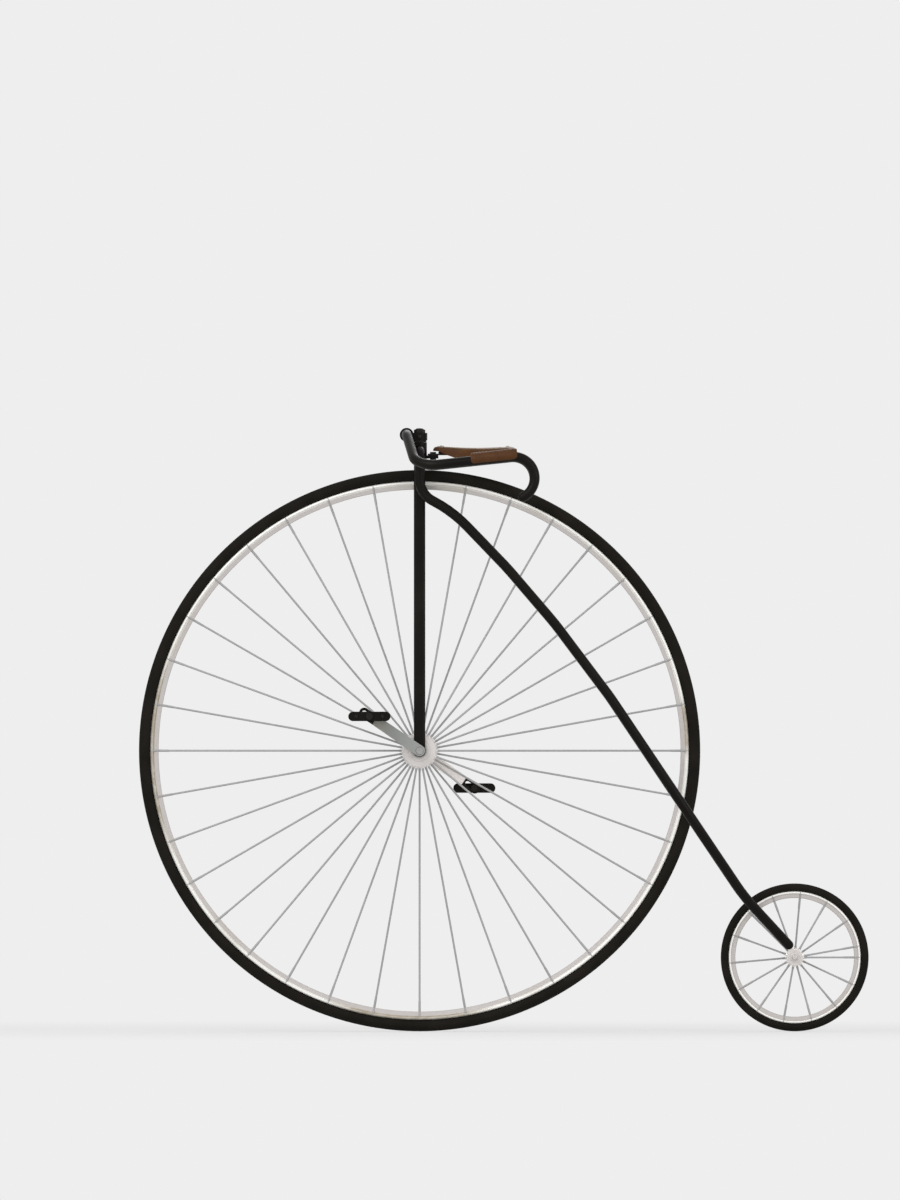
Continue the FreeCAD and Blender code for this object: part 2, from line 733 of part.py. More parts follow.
# ---- Saddle ----
def saddle_outline(inset, z):
    """The saddle's pear shape, nose forward, drawn in from its edge by inset."""
    nose = saddle_nose_half - inset
    tail = saddle_cantle_half - inset
    nose_x = saddle_nose_x + inset
    tail_x = saddle_cantle_x - inset
    at = {name: vec(nose_x + (tail_x - nose_x) * along, nose + (tail - nose) * growth, z)
          for name, (along, growth) in SADDLE_SIDE.items()}
    shoulder = vec(nose_x + nose, nose, z)
    right = [
        Part.Arc(shoulder, at["neck"], at["waist"]).toShape(),
        Part.Arc(at["waist"], at["swell"], at["hip"]).toShape(),
        Part.makeLine(at["hip"], at["corner"]),
    ]
    left = [edge.mirror(vec(0, 0, 0), Y_AXIS) for edge in right]
    corner = at["corner"]
    ends = [
        Part.Arc(vec(shoulder.x, -nose, z), vec(nose_x, 0, z), shoulder).toShape(),
        Part.Arc(corner, vec(tail_x, 0, z), vec(corner.x, -corner.y, z)).toShape(),
    ]
    return Part.Face(Part.Wire(Part.__sortEdges__(right + left + ends)))


def saddle_leather():
    """A stretched seat with side skirts, hollow below."""
    bottom = saddle_top - skirt_depth
    outer = saddle_outline(0.0, bottom).extrude(vec(0, 0, skirt_depth))
    inner = saddle_outline(skirt_thickness, bottom - overcut).extrude(
        vec(0, 0, skirt_depth - leather_thickness + overcut))
    keep = cross_bore(skirt_arc_radius, -saddle_cantle_half, saddle_cantle_half,
                      saddle_cantle_x - skirt_arc_back, bottom + skirt_arc_radius)
    return outer.cut(inner).common(keep).Solids[0]


def saddle_pan():
    """The steel pan that the leather is stretched on: a pear-shaped plate with an opening."""
    inset = skirt_thickness + pan_inset
    plate = saddle_outline(inset, pan_bottom).extrude(vec(0, 0, pan_thickness))
    window = saddle_outline(inset + pan_rail, pan_bottom - overcut).extrude(
        vec(0, 0, pan_thickness + 2 * overcut))
    middle = box((saddle_x - pan_window_front, saddle_cantle_x - pan_window_back),
                 (-saddle_cantle_half, saddle_cantle_half),
                 (pan_bottom - overcut, pan_top + overcut))
    return plate.cut(window.common(middle)).Solids[0]


def saddle_spring():
    """A flat leaf that runs from the head's tongue to the back of the pan."""
    z = tongue_top + spring_thickness / 2
    end_x = saddle_cantle_x - spring_end_back
    points = [vec(head_dia / 2 + socket_floor, 0, z), vec(tongue_x + spring_flat, 0, z),
              vec(saddle_x - spring_low_ahead, 0, z - spring_sag),
              vec(end_x - spring_flat, 0, z), vec(end_x, 0, z)]
    path = Part.Wire(rounded_path(points, [spring_bend, spring_middle_bend, spring_bend]))
    half_width, half = spring_width / 2, spring_thickness / 2
    start = points[0]
    corners = [start + vec(0, y, dz) for y, dz in
               ((-half_width, -half), (half_width, -half), (half_width, half), (-half_width, half))]
    profile = Part.makePolygon(corners + corners[:1])
    leaf = path.makePipeShell([profile], True, False)
    hole = upright_bore(saddle_bolt_dia / 2 + fit_clearance, z - half, z + half, saddle_bolt_x)
    return leaf.cut(hole).Solids[0]


def saddle_bolt():
    """Clamps the spring on the tongue: head, shank and nut."""
    low = tongue_top - tongue_thickness
    return fused(
        upright(saddle_bolt_dia / 2, low - saddle_bolt_head, pan_bottom, saddle_bolt_x),
        upright(saddle_bolt_head_dia / 2, low - saddle_bolt_head, low, saddle_bolt_x),
        upright(saddle_bolt_head_dia / 2, pan_bottom, pan_bottom + saddle_bolt_head,
                saddle_bolt_x))


def make_saddle():
    save("saddle_leather", saddle_leather())
    save("saddle_pan", saddle_pan())
    save("saddle_spring", saddle_spring())
    save("saddle_bolt", saddle_bolt())


make_wheels()
make_drive()
make_frame()
make_fork()
make_saddle()
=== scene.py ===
import math

import bpy
from mathutils import Matrix, Vector


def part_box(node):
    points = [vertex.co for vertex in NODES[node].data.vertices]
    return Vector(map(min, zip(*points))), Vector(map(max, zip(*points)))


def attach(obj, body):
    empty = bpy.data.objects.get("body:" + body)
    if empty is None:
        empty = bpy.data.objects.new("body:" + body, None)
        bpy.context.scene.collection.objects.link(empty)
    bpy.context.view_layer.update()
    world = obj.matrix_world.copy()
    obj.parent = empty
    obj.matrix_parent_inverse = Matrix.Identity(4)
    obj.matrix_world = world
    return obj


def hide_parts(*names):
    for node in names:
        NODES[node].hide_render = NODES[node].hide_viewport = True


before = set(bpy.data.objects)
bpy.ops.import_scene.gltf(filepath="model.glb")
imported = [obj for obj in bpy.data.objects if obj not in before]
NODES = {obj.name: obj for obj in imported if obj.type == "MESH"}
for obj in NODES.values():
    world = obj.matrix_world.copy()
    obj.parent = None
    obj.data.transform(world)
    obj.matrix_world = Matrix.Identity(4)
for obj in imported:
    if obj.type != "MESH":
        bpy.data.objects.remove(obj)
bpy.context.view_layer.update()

# A penny farthing bicycle, dressed around its CAD frame. Metres, +Z up, forward is -X and
# the rider's left is -Y. Places are worked out from the CAD nodes' boxes.

MM = 0.001


# ---- Places read from the frame ----
def middle(node):
    low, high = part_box(node)
    return (low + high) / 2


def wheel_place(name):
    """Centre and outer radius of a wheel."""
    low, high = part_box(name + "_tyre")
    return (low + high) / 2, (high.z - low.z) / 2


def outward_at(angle):
    """The direction out of a wheel's hub, at an angle up from the rear."""
    return Vector((math.cos(angle), 0, math.sin(angle)))


FRONT_HUB, FRONT_RADIUS = wheel_place("front")
REAR_HUB, REAR_RADIUS = wheel_place("rear")
GROUND_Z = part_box("front_tyre")[0].z
SADDLE_LOW, SADDLE_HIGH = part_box("saddle_leather")
TUBE_RADIUS = 12.0 * MM

# The dressed wheels. Hub and radius come from the frame, in metres. The other sizes are in
# millimetres and the spoke angles in degrees. steps is how many flats go round, and bright
# how many faces of a rim's section carry the lip's near-white painted highlight on each side,
# counted from the tyre.
WHEELS = {
    "front": dict(
        hub=FRONT_HUB, radius=FRONT_RADIUS, tyre=28.0, bead=8.0, foot=20.0, width=20.0,
        foot_width=9.0, spokes=36, spoke=5.0, first=0.0, pitch=10.0, flange=81.4, flange_mid=42.0,
        flange_thick=8.0, barrel=46.0, axle=19.0, steps=288, lip="warm_lip", bright=9),
    "rear": dict(
        hub=REAR_HUB, radius=REAR_RADIUS, tyre=19.5, bead=6.0, foot=16.0, width=14.0,
        foot_width=7.0, spokes=15, spoke=4.6, first=10.0, pitch=25.0, flange=40.0, flange_mid=20.0,
        flange_thick=9.0, barrel=24.0, axle=12.0, steps=144, lip="lip", bright=6),
}
# Where the big wheel's lip is made darker and warmer: degrees up from the rear, and half length in
# metres.
LIP_DARK_PATCHES = [(5.0, 0.07), (180.0, 0.22), (268.0, 0.18)]
# Each crank is blacked from the first to the second of these distances from the axle.
BLACKED_FROM, BLACKED_FULLY = 0.131, 0.1325
SIDES = {"left": -1, "right": 1}


# ---- Colours ----
def srgb(red, green, blue):
    """A colour as it is seen, turned into the linear values that a shader takes."""
    def linear(value):
        share = value / 255
        return share / 12.92 if share <= 0.04045 else ((share + 0.055) / 1.055) ** 2.4
    return (linear(red), linear(green), linear(blue), 1.0)


BACKGROUND = srgb(238, 238, 238)
BLACK = srgb(20, 17, 13)
LEATHER_BROWN = srgb(86, 53, 25)


# ---- Material helpers ----
def new_material(name, color, roughness, metallic=0.0, specular=0.5):
    material = bpy.data.materials.new(name)
    material.use_nodes = True
    tree = material.node_tree
    shader = tree.nodes["Principled BSDF"]
    shader.inputs["Base Color"].default_value = color
    shader.inputs["Roughness"].default_value = roughness
    shader.inputs["Metallic"].default_value = metallic
    shader.inputs["Specular IOR Level"].default_value = specular
    place = tree.nodes.new("ShaderNodeTexCoord")
    return material, tree, shader, place.outputs["Object"]


def noise(tree, place, scale, detail=4.0, stretch=(1, 1, 1)):
    mapping = tree.nodes.new("ShaderNodeMapping")
    mapping.inputs["Scale"].default_value = stretch
    texture = tree.nodes.new("ShaderNodeTexNoise")
    texture.inputs["Scale"].default_value = scale
    texture.inputs["Detail"].default_value = detail
    tree.links.new(place, mapping.inputs["Vector"])
    tree.links.new(mapping.outputs["Vector"], texture.inputs["Vector"])
    return texture.outputs["Fac"]


def ramp(tree, value, stops):
    """A colour ramp over a value, from (position, colour) stops."""
    node = tree.nodes.new("ShaderNodeValToRGB")
    elements = node.color_ramp.elements
    while len(elements) < len(stops):
        elements.new(0.5)
    for element, (position, color) in zip(elements, stops):
        element.position = position
        element.color = color
    tree.links.new(value, node.inputs["Fac"])
    return node.outputs["Color"]


def remap(tree, value, low, high, to_low, to_high):
    node = tree.nodes.new("ShaderNodeMapRange")
    node.inputs["From Min"].default_value = low
    node.inputs["From Max"].default_value = high
    node.inputs["To Min"].default_value = to_low
    node.inputs["To Max"].default_value = to_high
    tree.links.new(value, node.inputs["Value"])
    return node.outputs["Result"]


def mix_color(tree, factor, first, second):
    """Blends two colours by a factor; either may be a socket or a fixed colour."""
    node = tree.nodes.new("ShaderNodeMix")
    node.data_type = "RGBA"
    tree.links.new(factor, node.inputs[0])
    for index, color in ((6, first), (7, second)):
        if isinstance(color, tuple):
            node.inputs[index].default_value = color
        else:
            tree.links.new(color, node.inputs[index])
    return node.outputs[2]


def arithmetic(tree, operation, first, second):
    node = tree.nodes.new("ShaderNodeMath")
    node.operation = operation
    tree.links.new(first, node.inputs[0])
    tree.links.new(second, node.inputs[1])
    return node.outputs["Value"]


def distance_from(tree, place, point):
    """How far a place on the piece is from a fixed point, in metres."""
    node = tree.nodes.new("ShaderNodeVectorMath")
    node.operation = "DISTANCE"
    node.inputs[1].default_value = point
    tree.links.new(place, node.inputs[0])
    return node.outputs["Value"]


def recolour(material, factor, color):
    """Blends the colour that a material has towards another one."""
    tree = material.node_tree
    socket = tree.nodes["Principled BSDF"].inputs["Base Color"]
    before = socket.links[0].from_socket
    tree.links.new(mix_color(tree, factor, before, color), socket)


def bump(tree, shader, height, distance, strength=1.0):
    node = tree.nodes.new("ShaderNodeBump")
    node.inputs["Distance"].default_value = distance
    node.inputs["Strength"].default_value = strength
    tree.links.new(height, node.inputs["Height"])
    tree.links.new(node.outputs["Normal"], shader.inputs["Normal"])


# ---- Materials ----
def enamel():
    """Stoved black enamel: slight orange peel, a faint bloom of dust and dulled patches."""
    material, tree, shader, place = new_material("black_enamel", BLACK, 0.4, 0.0, 0.1)
    bloom = noise(tree, place, 9.0, 5.0)
    color = ramp(tree, bloom, [(0.35, srgb(14, 12, 9)), (0.62, BLACK),
                               (0.8, srgb(30, 27, 22))])
    tree.links.new(color, shader.inputs["Base Color"])
    rough = remap(tree, noise(tree, place, 40.0, 6.0), 0.3, 0.7, 0.32, 0.5)
    tree.links.new(rough, shader.inputs["Roughness"])
    bump(tree, shader, noise(tree, place, 700.0, 2.0), 0.00012, 0.5)
    return material


def black_steel():
    """Blackened steel with a fine grain and small rubbed spots."""
    material, tree, shader, place = new_material("black_steel", srgb(28, 25, 21), 0.5, 0.0, 0.2)
    rubbed = noise(tree, place, 120.0, 7.0)
    color = ramp(tree, rubbed, [(0.4, srgb(20, 18, 15)), (0.66, srgb(29, 26, 22)),
                                (0.74, srgb(60, 57, 51))])
    tree.links.new(color, shader.inputs["Base Color"])
    bump(tree, shader, noise(tree, place, 900.0, 3.0), 0.0001, 0.6)
    return material


def nickel(name, color, dark, rough, metallic):
    """Satin nickel: a soft brushed grain, with warm tarnish in patches."""
    material, tree, shader, place = new_material(name, color, rough, metallic, 0.5)
    patches = noise(tree, place, 5.5, 2.0)
    tarnish = ramp(tree, patches, [(0.42, color), (0.62, dark), (0.75, srgb(180, 168, 142))])
    grain = noise(tree, place, 260.0, 3.0, (1, 0.2, 1))
    soft = remap(tree, patches, 0.45, 0.72, 0.0, 0.4)
    tree.links.new(mix_color(tree, soft, color, tarnish), shader.inputs["Base Color"])
    tree.links.new(remap(tree, grain, 0.3, 0.7, rough - 0.08, rough + 0.1),
                   shader.inputs["Roughness"])
    bump(tree, shader, grain, 0.00003, 0.12)
    return material


def blacked_crank(name, color, dark, node):
    """A plated crank whose slotted end, beyond a set distance from the axle, is blacked."""
    material = nickel(name, color, dark, 0.4, 0.75)
    tree = material.node_tree
    place = tree.nodes.new("ShaderNodeTexCoord").outputs["Object"]
    axle = Vector((FRONT_HUB.x, middle(node).y, FRONT_HUB.z))
    reach = distance_from(tree, place, NODES[node].matrix_world.inverted() @ axle)
    recolour(material, remap(tree, reach, BLACKED_FROM, BLACKED_FULLY, 0.0, 1.0), BLACK)
    return material


def lip_with_dark_patches(name, color, dark):
    """A rolled lip painted near-white as a highlight, and darker and warmer in set patches."""
    material = nickel(name, color, dark, 0.5, 0.4)
    tree = material.node_tree
    place = tree.nodes.new("ShaderNodeTexCoord").outputs["Object"]
    share = remap(tree, noise(tree, place, 60.0, 3.0), 0.3, 0.6, 0.7, 1.0)
    patches = None
    for degrees, length in LIP_DARK_PATCHES:
        centre = FRONT_HUB + outward_at(math.radians(degrees)) * FRONT_RADIUS
        reach = distance_from(tree, place, centre)
        patch = remap(tree, reach, length * 0.75, length * 1.25, 1.0, 0.0)
        patches = patch if patches is None else arithmetic(tree, "MAXIMUM", patches, patch)
    recolour(material, arithmetic(tree, "MULTIPLY", patches, share), dark)
    return material


def drawn_steel(name, color):
    """Dull drawn steel with draw marks and pin-prick rust."""
    material, tree, shader, place = new_material(name, color, 0.55, 0.35, 0.4)
    specks = noise(tree, place, 420.0, 3.0)
    rust = ramp(tree, specks, [(0.0, color), (0.69, color), (0.78, srgb(112, 84, 60))])
    tree.links.new(rust, shader.inputs["Base Color"])
    bump(tree, shader, noise(tree, place, 600.0, 2.0), 0.00003, 0.3)
    return material


def rubber(name, color, dusty):
    """Matte rubber with a fine pitted skin and dust in the low places."""
    material, tree, shader, place = new_material(name, color, 0.85, 0.0, 0.12)
    dust = noise(tree, place, 16.0, 8.0)
    tree.links.new(ramp(tree, dust, [(0.4, color), (0.78, dusty)]), shader.inputs["Base Color"])
    tree.links.new(remap(tree, dust, 0.3, 0.7, 0.75, 0.92), shader.inputs["Roughness"])
    bump(tree, shader, noise(tree, place, 520.0, 4.0), 0.0002, 0.5)
    return material


def leather():
    """Waxed saddle leather: pebbled grain, creases painted darker as shade, and darker worn
    patches.
    """
    material, tree, shader, place = new_material("brown_leather", LEATHER_BROWN, 0.5, 0.0, 0.16)
    wear = noise(tree, place, 13.0, 6.0)
    color = ramp(tree, wear, [(0.3, srgb(68, 41, 19)), (0.52, LEATHER_BROWN),
                              (0.74, srgb(106, 69, 37))])
    cells = tree.nodes.new("ShaderNodeTexVoronoi")
    cells.feature = "DISTANCE_TO_EDGE"
    cells.inputs["Scale"].default_value = 620.0
    tree.links.new(place, cells.inputs["Vector"])
    crease = remap(tree, cells.outputs["Distance"], 0.0, 0.25, 0.0, 1.0)
    # The grain's creases are painted darker, as shade.
    crease_shade = remap(tree, crease, 0.0, 1.0, 0.55, 1.0)
    tree.links.new(mix_color(tree, crease_shade, srgb(46, 27, 14), color), shader.inputs["Base Color"])
    tree.links.new(remap(tree, wear, 0.3, 0.7, 0.58, 0.4), shader.inputs["Roughness"])
    height = arithmetic(tree, "ADD", crease, noise(tree, place, 130.0, 4.0))
    bump(tree, shader, height, 0.00016, 0.5)
    return material


def thread():
    """Pale waxed thread with a fine twist."""
    material, tree, shader, place = new_material("waxed_thread", srgb(176, 150, 108), 0.75)
    twist = noise(tree, place, 900.0, 2.0)
    tree.links.new(ramp(tree, twist, [(0.35, srgb(140, 116, 80)), (0.65, srgb(190, 166, 122))]),
                   shader.inputs["Base Color"])
    return material


MATERIALS = {
    "enamel": enamel(),
    "black_steel": black_steel(),
    "nickel": nickel("nickel", srgb(201, 196, 193), srgb(187, 180, 165), 0.38, 0.75),
    "plated": nickel("plated_nuts", srgb(210, 205, 202), srgb(196, 188, 174), 0.42, 0.7),
    # The lips are a near-white copy of the nickel: a painted highlight along the rim's beads.
    "lip": nickel("lip_painted_highlight", srgb(248, 246, 241), srgb(230, 226, 216), 0.5, 0.4),
    # The big wheel's lip: the same painted highlight, darker and warmer in set patches.
    "warm_lip": lip_with_dark_patches("warm_lip", srgb(244, 242, 237), srgb(171, 162, 146)),
    # The hub is a lighter copy of the nickel: painted light against the shade that the fork and
    # crank cast on it.
    "hub": nickel("hub_nickel_painted_light", srgb(225, 220, 217), srgb(212, 204, 190), 0.36, 0.8),
    # The two cranks are one plated steel: the near one is painted darker, as shade, and the far one
    # painted lighter against the shade that falls on it.
    "crank_near_painted_shade": blacked_crank("crank_near_painted_shade", srgb(160, 162, 160), srgb(150, 150, 142),
                                "crank_left"),
    "crank_far_painted_light": blacked_crank("crank_far_painted_light", srgb(250, 243, 240), srgb(238, 228, 214),
                               "crank_right"),
    "steel": drawn_steel("grey_steel", srgb(160, 160, 158)),
    "spoke": drawn_steel("spoke_wire", srgb(166, 166, 166)),
    "tyre": rubber("tyre_rubber", srgb(21, 18, 14), srgb(34, 31, 26)),
    "pedal": rubber("pedal_rubber", srgb(20, 20, 16), srgb(32, 32, 27)),
    "leather": leather(),
    "thread": thread(),
}


# ---- Mesh helpers ----
def new_object(name, data):
    """An object in the scene's own collection."""
    made = bpy.data.objects.new(name, data)
    bpy.context.scene.collection.objects.link(made)
    return made


class Mesh:
    """Points and faces gathered for one piece, with a material name on each face."""

    def __init__(self):
        self.points = []
        self.faces = []
        self.looks = []

    def add(self, points, faces, look):
        base = len(self.points)
        self.points.extend(points)
        self.faces.extend([tuple(base + index for index in face) for face in faces])
        self.looks.extend([look] * len(faces))

    def piece(self, name, body, slot, replaces=(), sharp=35.0):
        """Makes the object, rides it on its body and puts it in the place of CAD nodes."""
        mesh = bpy.data.meshes.new(name)
        mesh.from_pydata([tuple(point) for point in self.points], [], self.faces)
        names = sorted(set(self.looks))
        for look in names:
            mesh.materials.append(MATERIALS[look])
        mesh.polygons.foreach_set("material_index", [names.index(look) for look in self.looks])
        mesh.validate()
        mesh.shade_smooth()
        mesh.set_sharp_from_angle(angle=math.radians(sharp))
        mesh.update()
        piece = new_object(name, mesh)
        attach(piece, body)
        if replaces:
            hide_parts(*replaces)
        return piece


def grid_faces(rows, columns, close_rows, close_columns):
    """Quads over a grid of points, wrapped round in either direction."""
    faces = []
    for row in range(rows if close_rows else rows - 1):
        after = (row + 1) % rows
        for column in range(columns if close_columns else columns - 1):
            beside = (column + 1) % columns
            faces.append((row * columns + column, row * columns + beside,
                          after * columns + beside, after * columns + column))
    return faces


def tube_faces(rings, sides):
    """Quads over rings of points, with a cap on the first and the last ring."""
    faces = grid_faces(rings, sides, False, True)
    faces.append(tuple(reversed(range(sides))))
    faces.append(tuple(range((rings - 1) * sides, rings * sides)))
    return faces


def turned(mesh, centre, section, steps, looks):
    """A closed section of (radius, y) points in millimetres, turned about the Y axis."""
    points = []
    for step in range(steps):
        outward = outward_at(2 * math.pi * step / steps)
        for radius, y in section:
            points.append(centre + outward * radius * MM + Vector((0, y * MM, 0)))
    count = len(section)
    faces = grid_faces(steps, count, True, True)
    by_look = {}
    for index, face in enumerate(faces):
        look = looks if isinstance(looks, str) else looks[index % count]
        by_look.setdefault(look, []).append(face)
    base = len(mesh.points)
    mesh.points.extend(points)
    for look, group in by_look.items():
        mesh.faces.extend([tuple(base + i for i in reversed(face)) for face in group])
        mesh.looks.extend([look] * len(group))


def turned_along(mesh, start, along, profile, sides, look):
    """A turned pin: (distance, radius) steps in metres along an axis, closed at both ends."""
    along = along.normalized()
    across = along.orthogonal().normalized()
    other = along.cross(across)
    points = []
    for distance, radius in profile:
        for side in range(sides):
            angle = 2 * math.pi * side / sides
            points.append(start + along * distance
                          + (across * math.cos(angle) + other * math.sin(angle)) * radius)
    mesh.add(points, tube_faces(len(profile), sides), look)


def prism(mesh, start, along, height, corner_radius, sides, look, chamfer=0.0008):
    """A nut or bolt head: a regular prism with chamfered corners."""
    turned_along(mesh, start, along,
                 [(0, corner_radius - chamfer), (chamfer, corner_radius),
                  (height - chamfer, corner_radius), (height, corner_radius - chamfer)],
                 sides, look)


def swept(mesh, path, radii, sides, look):
    """A round bar along a path of points, with a radius at each, carried without twist."""
    tangents = []
    for index, point in enumerate(path):
        before = path[max(index - 1, 0)]
        after = path[min(index + 1, len(path) - 1)]
        tangents.append((after - before).normalized())
    across = tangents[0].orthogonal().normalized()
    points = []
    for index, point in enumerate(path):
        across = (across - tangents[index] * across.dot(tangents[index])).normalized()
        other = tangents[index].cross(across)
        for side in range(sides):
            angle = 2 * math.pi * side / sides
            points.append(point + (across * math.cos(angle) + other * math.sin(angle))
                          * radii[index])
    mesh.add(points, tube_faces(len(path), sides), look)


def rounded_route(corners, radii, step=math.radians(4.0)):
    """Points along straight runs joined by tangent arcs."""
    route = [corners[0]]
    for before, corner, after, radius in zip(corners, corners[1:], corners[2:], radii):
        along = (corner - before).normalized()
        onward = (after - corner).normalized()
        turn = along.angle(onward)
        start = corner - along * radius * math.tan(turn / 2)
        axis = along.cross(onward).normalized()
        centre = start + axis.cross(along) * radius
        steps = max(4, math.ceil(turn / step))
        for index in range(steps + 1):
            spun = Matrix.Rotation(turn * index / steps, 3, axis) @ (start - centre)
            route.append(centre + spun)
    route.append(corners[-1])
    return route


def dome(path, radii, steps=6):
    """Carries a path on into a rounded end."""
    along = (path[-1] - path[-2]).normalized()
    end = path[-1]
    radius = radii[-1]
    for index in range(1, steps + 1):
        angle = math.pi / 2 * index / steps * 0.98
        path.append(end + along * radius * math.sin(angle))
        radii.append(radius * math.cos(angle))


# ---- Wheels ----
def round_tyre(name, row):
    """A round solid tyre with the low seam that its mould leaves along each side."""
    mesh = Mesh()
    size = row["tyre"] / 2
    centre = row["radius"] / MM - size
    section = []
    steps = 36
    low_side = 0.97
    for index in range(steps):
        angle = 2 * math.pi * index / steps
        if index in (steps // 4, 3 * steps // 4):
            share = 1.0
        elif abs(math.sin(angle)) > 0.7:
            share = low_side
        else:
            share = low_side + (1 - low_side) * math.cos(angle) ** 2
        reach = size * share
        section.append((centre + reach * math.cos(angle), reach * math.sin(angle)))
    turned(mesh, row["hub"], section, row["steps"], "tyre")
    mesh.piece(name + "_tyre_round", name + "_wheel", "tyre_rubber", [name + "_tyre"])


def dressed_rim(name, row):
    """A rolled rim: beads under the tyre painted near-white as a highlight, a grey body, and a rib
    at each spoke.
    """
    mesh = Mesh()
    under_tyre = 0.1
    foot_edge = 1.2
    seat = row["radius"] / MM - row["tyre"] - under_tyre
    bead = row["bead"] / 2
    half = row["width"] / 2
    foot = seat - row["foot"]
    foot_half = row["foot_width"] / 2
    bead_centre = seat - bead
    turns = [math.radians(180 * step / 8) for step in range(9)]
    right = [(bead_centre + bead * math.cos(turn), half - bead + bead * math.sin(turn))
             for turn in turns]
    flank = [(foot + foot_edge, foot_half), (foot, foot_half - foot_edge)]
    highlight_edge = tuple(high + (low - high) * 0.12 for high, low in zip(right[-1], flank[0]))
    section = right + [highlight_edge] + flank
    section += [(radius, -y) for radius, y in reversed(section)]
    # The bright faces on each side take the lip's near-white painted highlight.
    bright = row["bright"]
    looks = [row["lip"]] * bright
    looks += ["nickel"] * (len(section) - 1 - 2 * bright) + [row["lip"]] * (bright + 1)
    turned(mesh, row["hub"], section, row["steps"], looks)
    add_ribs(mesh, row, foot, bead_centre)
    mesh.piece(name + "_rim_dressed", name + "_wheel", "nickel", [name + "_rim"])


def spoke_direction(row, index):
    """The direction out along a spoke."""
    return outward_at(math.radians(row["first"] + index * row["pitch"]))


def add_ribs(mesh, row, foot, bead_centre):
    """The drawn-in ferrule of each spoke, a thin rib across both flanks of the rim."""
    bead = row["bead"] / 2
    high_half = row["width"] / 2 - row["spoke"] / 4
    size = row["spoke"] * 0.45 * MM
    line = [(foot + 1.0, row["foot_width"] / 2 - 0.4), (bead_centre - bead, high_half - 0.6),
            (bead_centre + bead - 1.0, high_half)]
    for index in range(row["spokes"]):
        outward = spoke_direction(row, index)
        for side in (-1, 1):
            path = [row["hub"] + outward * radius * MM + Vector((0, side * y * MM, 0))
                    for radius, y in line]
            swept(mesh, path, [size * 0.9, size, size * 0.7], 8, "spoke")


def spoke_line(row, index):
    """The two ends of a spoke, from inside its flange to the rim's foot."""
    in_flange, in_rim = 5.0, 0.9
    side = -1 if index % 2 == 0 else 1
    outward = spoke_direction(row, index)
    root = row["hub"] + outward * (row["flange"] / 2 - in_flange) * MM
    root = root + Vector((0, side * row["flange_mid"] * MM, 0))
    tip = row["hub"] + outward * (row["radius"] - (row["tyre"] + row["foot"] - in_rim) * MM)
    return root, tip


def round_spokes(name, row):
    """Round wires, each swelling to a butt at the hub and at the rim."""
    mesh = Mesh()
    wire = row["spoke"] / 2 * MM
    hub_butt, rim_butt = wire * 1.25, wire * 1.2
    for index in range(row["spokes"]):
        root, tip = spoke_line(row, index)
        length = (tip - root).length
        turned_along(mesh, root, tip - root,
                     [(0, hub_butt), (0.012, hub_butt), (0.016, wire), (length - 0.03, wire),
                      (length - 0.024, rim_butt), (length, rim_butt)], 12, "spoke")
    mesh.piece(name + "_spokes_round", name + "_wheel", "nickel", [name + "_spoked_hub"])


def turned_hub(name, row):
    """A turned spool with rounded flanges, a waisted barrel and a collar at each spoke."""
    mesh = Mesh()
    running_gap = 0.05
    bore = row["axle"] / 2 + running_gap
    outer = row["flange"] / 2
    barrel = row["barrel"] / 2
    out_y = row["flange_mid"] + row["flange_thick"] / 2
    in_y = row["flange_mid"] - row["flange_thick"] / 2
    edge = 1.6
    right = [(barrel * 0.86, 0), (barrel * 0.9, in_y * 0.5), (barrel, in_y - 5.0),
             (barrel + 3.0, in_y - 1.0), (outer - edge * 2, in_y), (outer - edge, in_y + 0.3),
             (outer, in_y + edge), (outer, out_y - edge), (outer - edge, out_y - 0.2),
             (outer * 0.66, out_y), (outer * 0.65, out_y - 0.4), (outer * 0.62, out_y - 0.4),
             (outer * 0.61, out_y), (bore + 2.0, out_y), (bore, out_y - 0.6)]
    section = [(radius, -y) for radius, y in reversed(right)] + right[1:]
    turned(mesh, row["hub"], section, 96, "hub")
    collar = row["spoke"] * 0.8 * MM
    collar_end = row["spoke"] * 0.62 * MM
    for index in range(row["spokes"]):
        root, tip = spoke_line(row, index)
        along = (tip - root).normalized()
        turned_along(mesh, root + along * 0.004, along,
                     [(0, collar), (0.003, collar), (0.0042, collar_end)], 10, "hub")
    mesh.piece(name + "_hub_turned", name + "_wheel", "nickel")


def make_wheels():
    for name, row in WHEELS.items():
        round_tyre(name, row)
        dressed_rim(name, row)
        round_spokes(name, row)
        turned_hub(name, row)


# ---- Bent tubes ----
def placed(point, side):
    """A point in millimetres from the front hub, on one side, in the frame's metres."""
    return FRONT_HUB + Vector((point.x, point.y * side, point.z)) * MM


def bent_tube(name, body, corners, bends, side, node):
    """A round tube through corners on one side, with round bends and a rounded end."""
    mesh = Mesh()
    path = rounded_route([placed(point, side) for point in corners],
                         [bend * MM for bend in bends])
    radii = [TUBE_RADIUS] * len(path)
    dome(path, radii)
    swept(mesh, path, radii, 32, "enamel")
    mesh.piece(name, body, "black_enamel", [node])


# ---- Backbone ----
# Distances in millimetres from the front hub. The bends run from the shoulder to the rear
# end: share of the chord, rise above the chord, bend radius.
HEAD_SOCKET_UP = 20.0
HEAD_SOCKET_OUT = 20.0
HORSESHOE_HALF = 64.0
HORSESHOE_BEND = 30.0
SHOULDER_Z = 627.6
SHOULDER_BEND = 60.0
REAR_END = (901.64, 38.0, -474.70)
WIDEST_HALF_EXTRA = 37.5
STEERING = math.radians(12.0)
BACKBONE_BENDS = [
    (0.059, 35.5, 330.0),
    (0.195, 51.1, 700.0),
    (0.319, 55.1, 700.0),
    (0.476, 45.9, 700.0),
    (0.721, 12.8, 250.0),
    (0.888, -9.6, 500.0),
]
WIDEST_BEND = 4


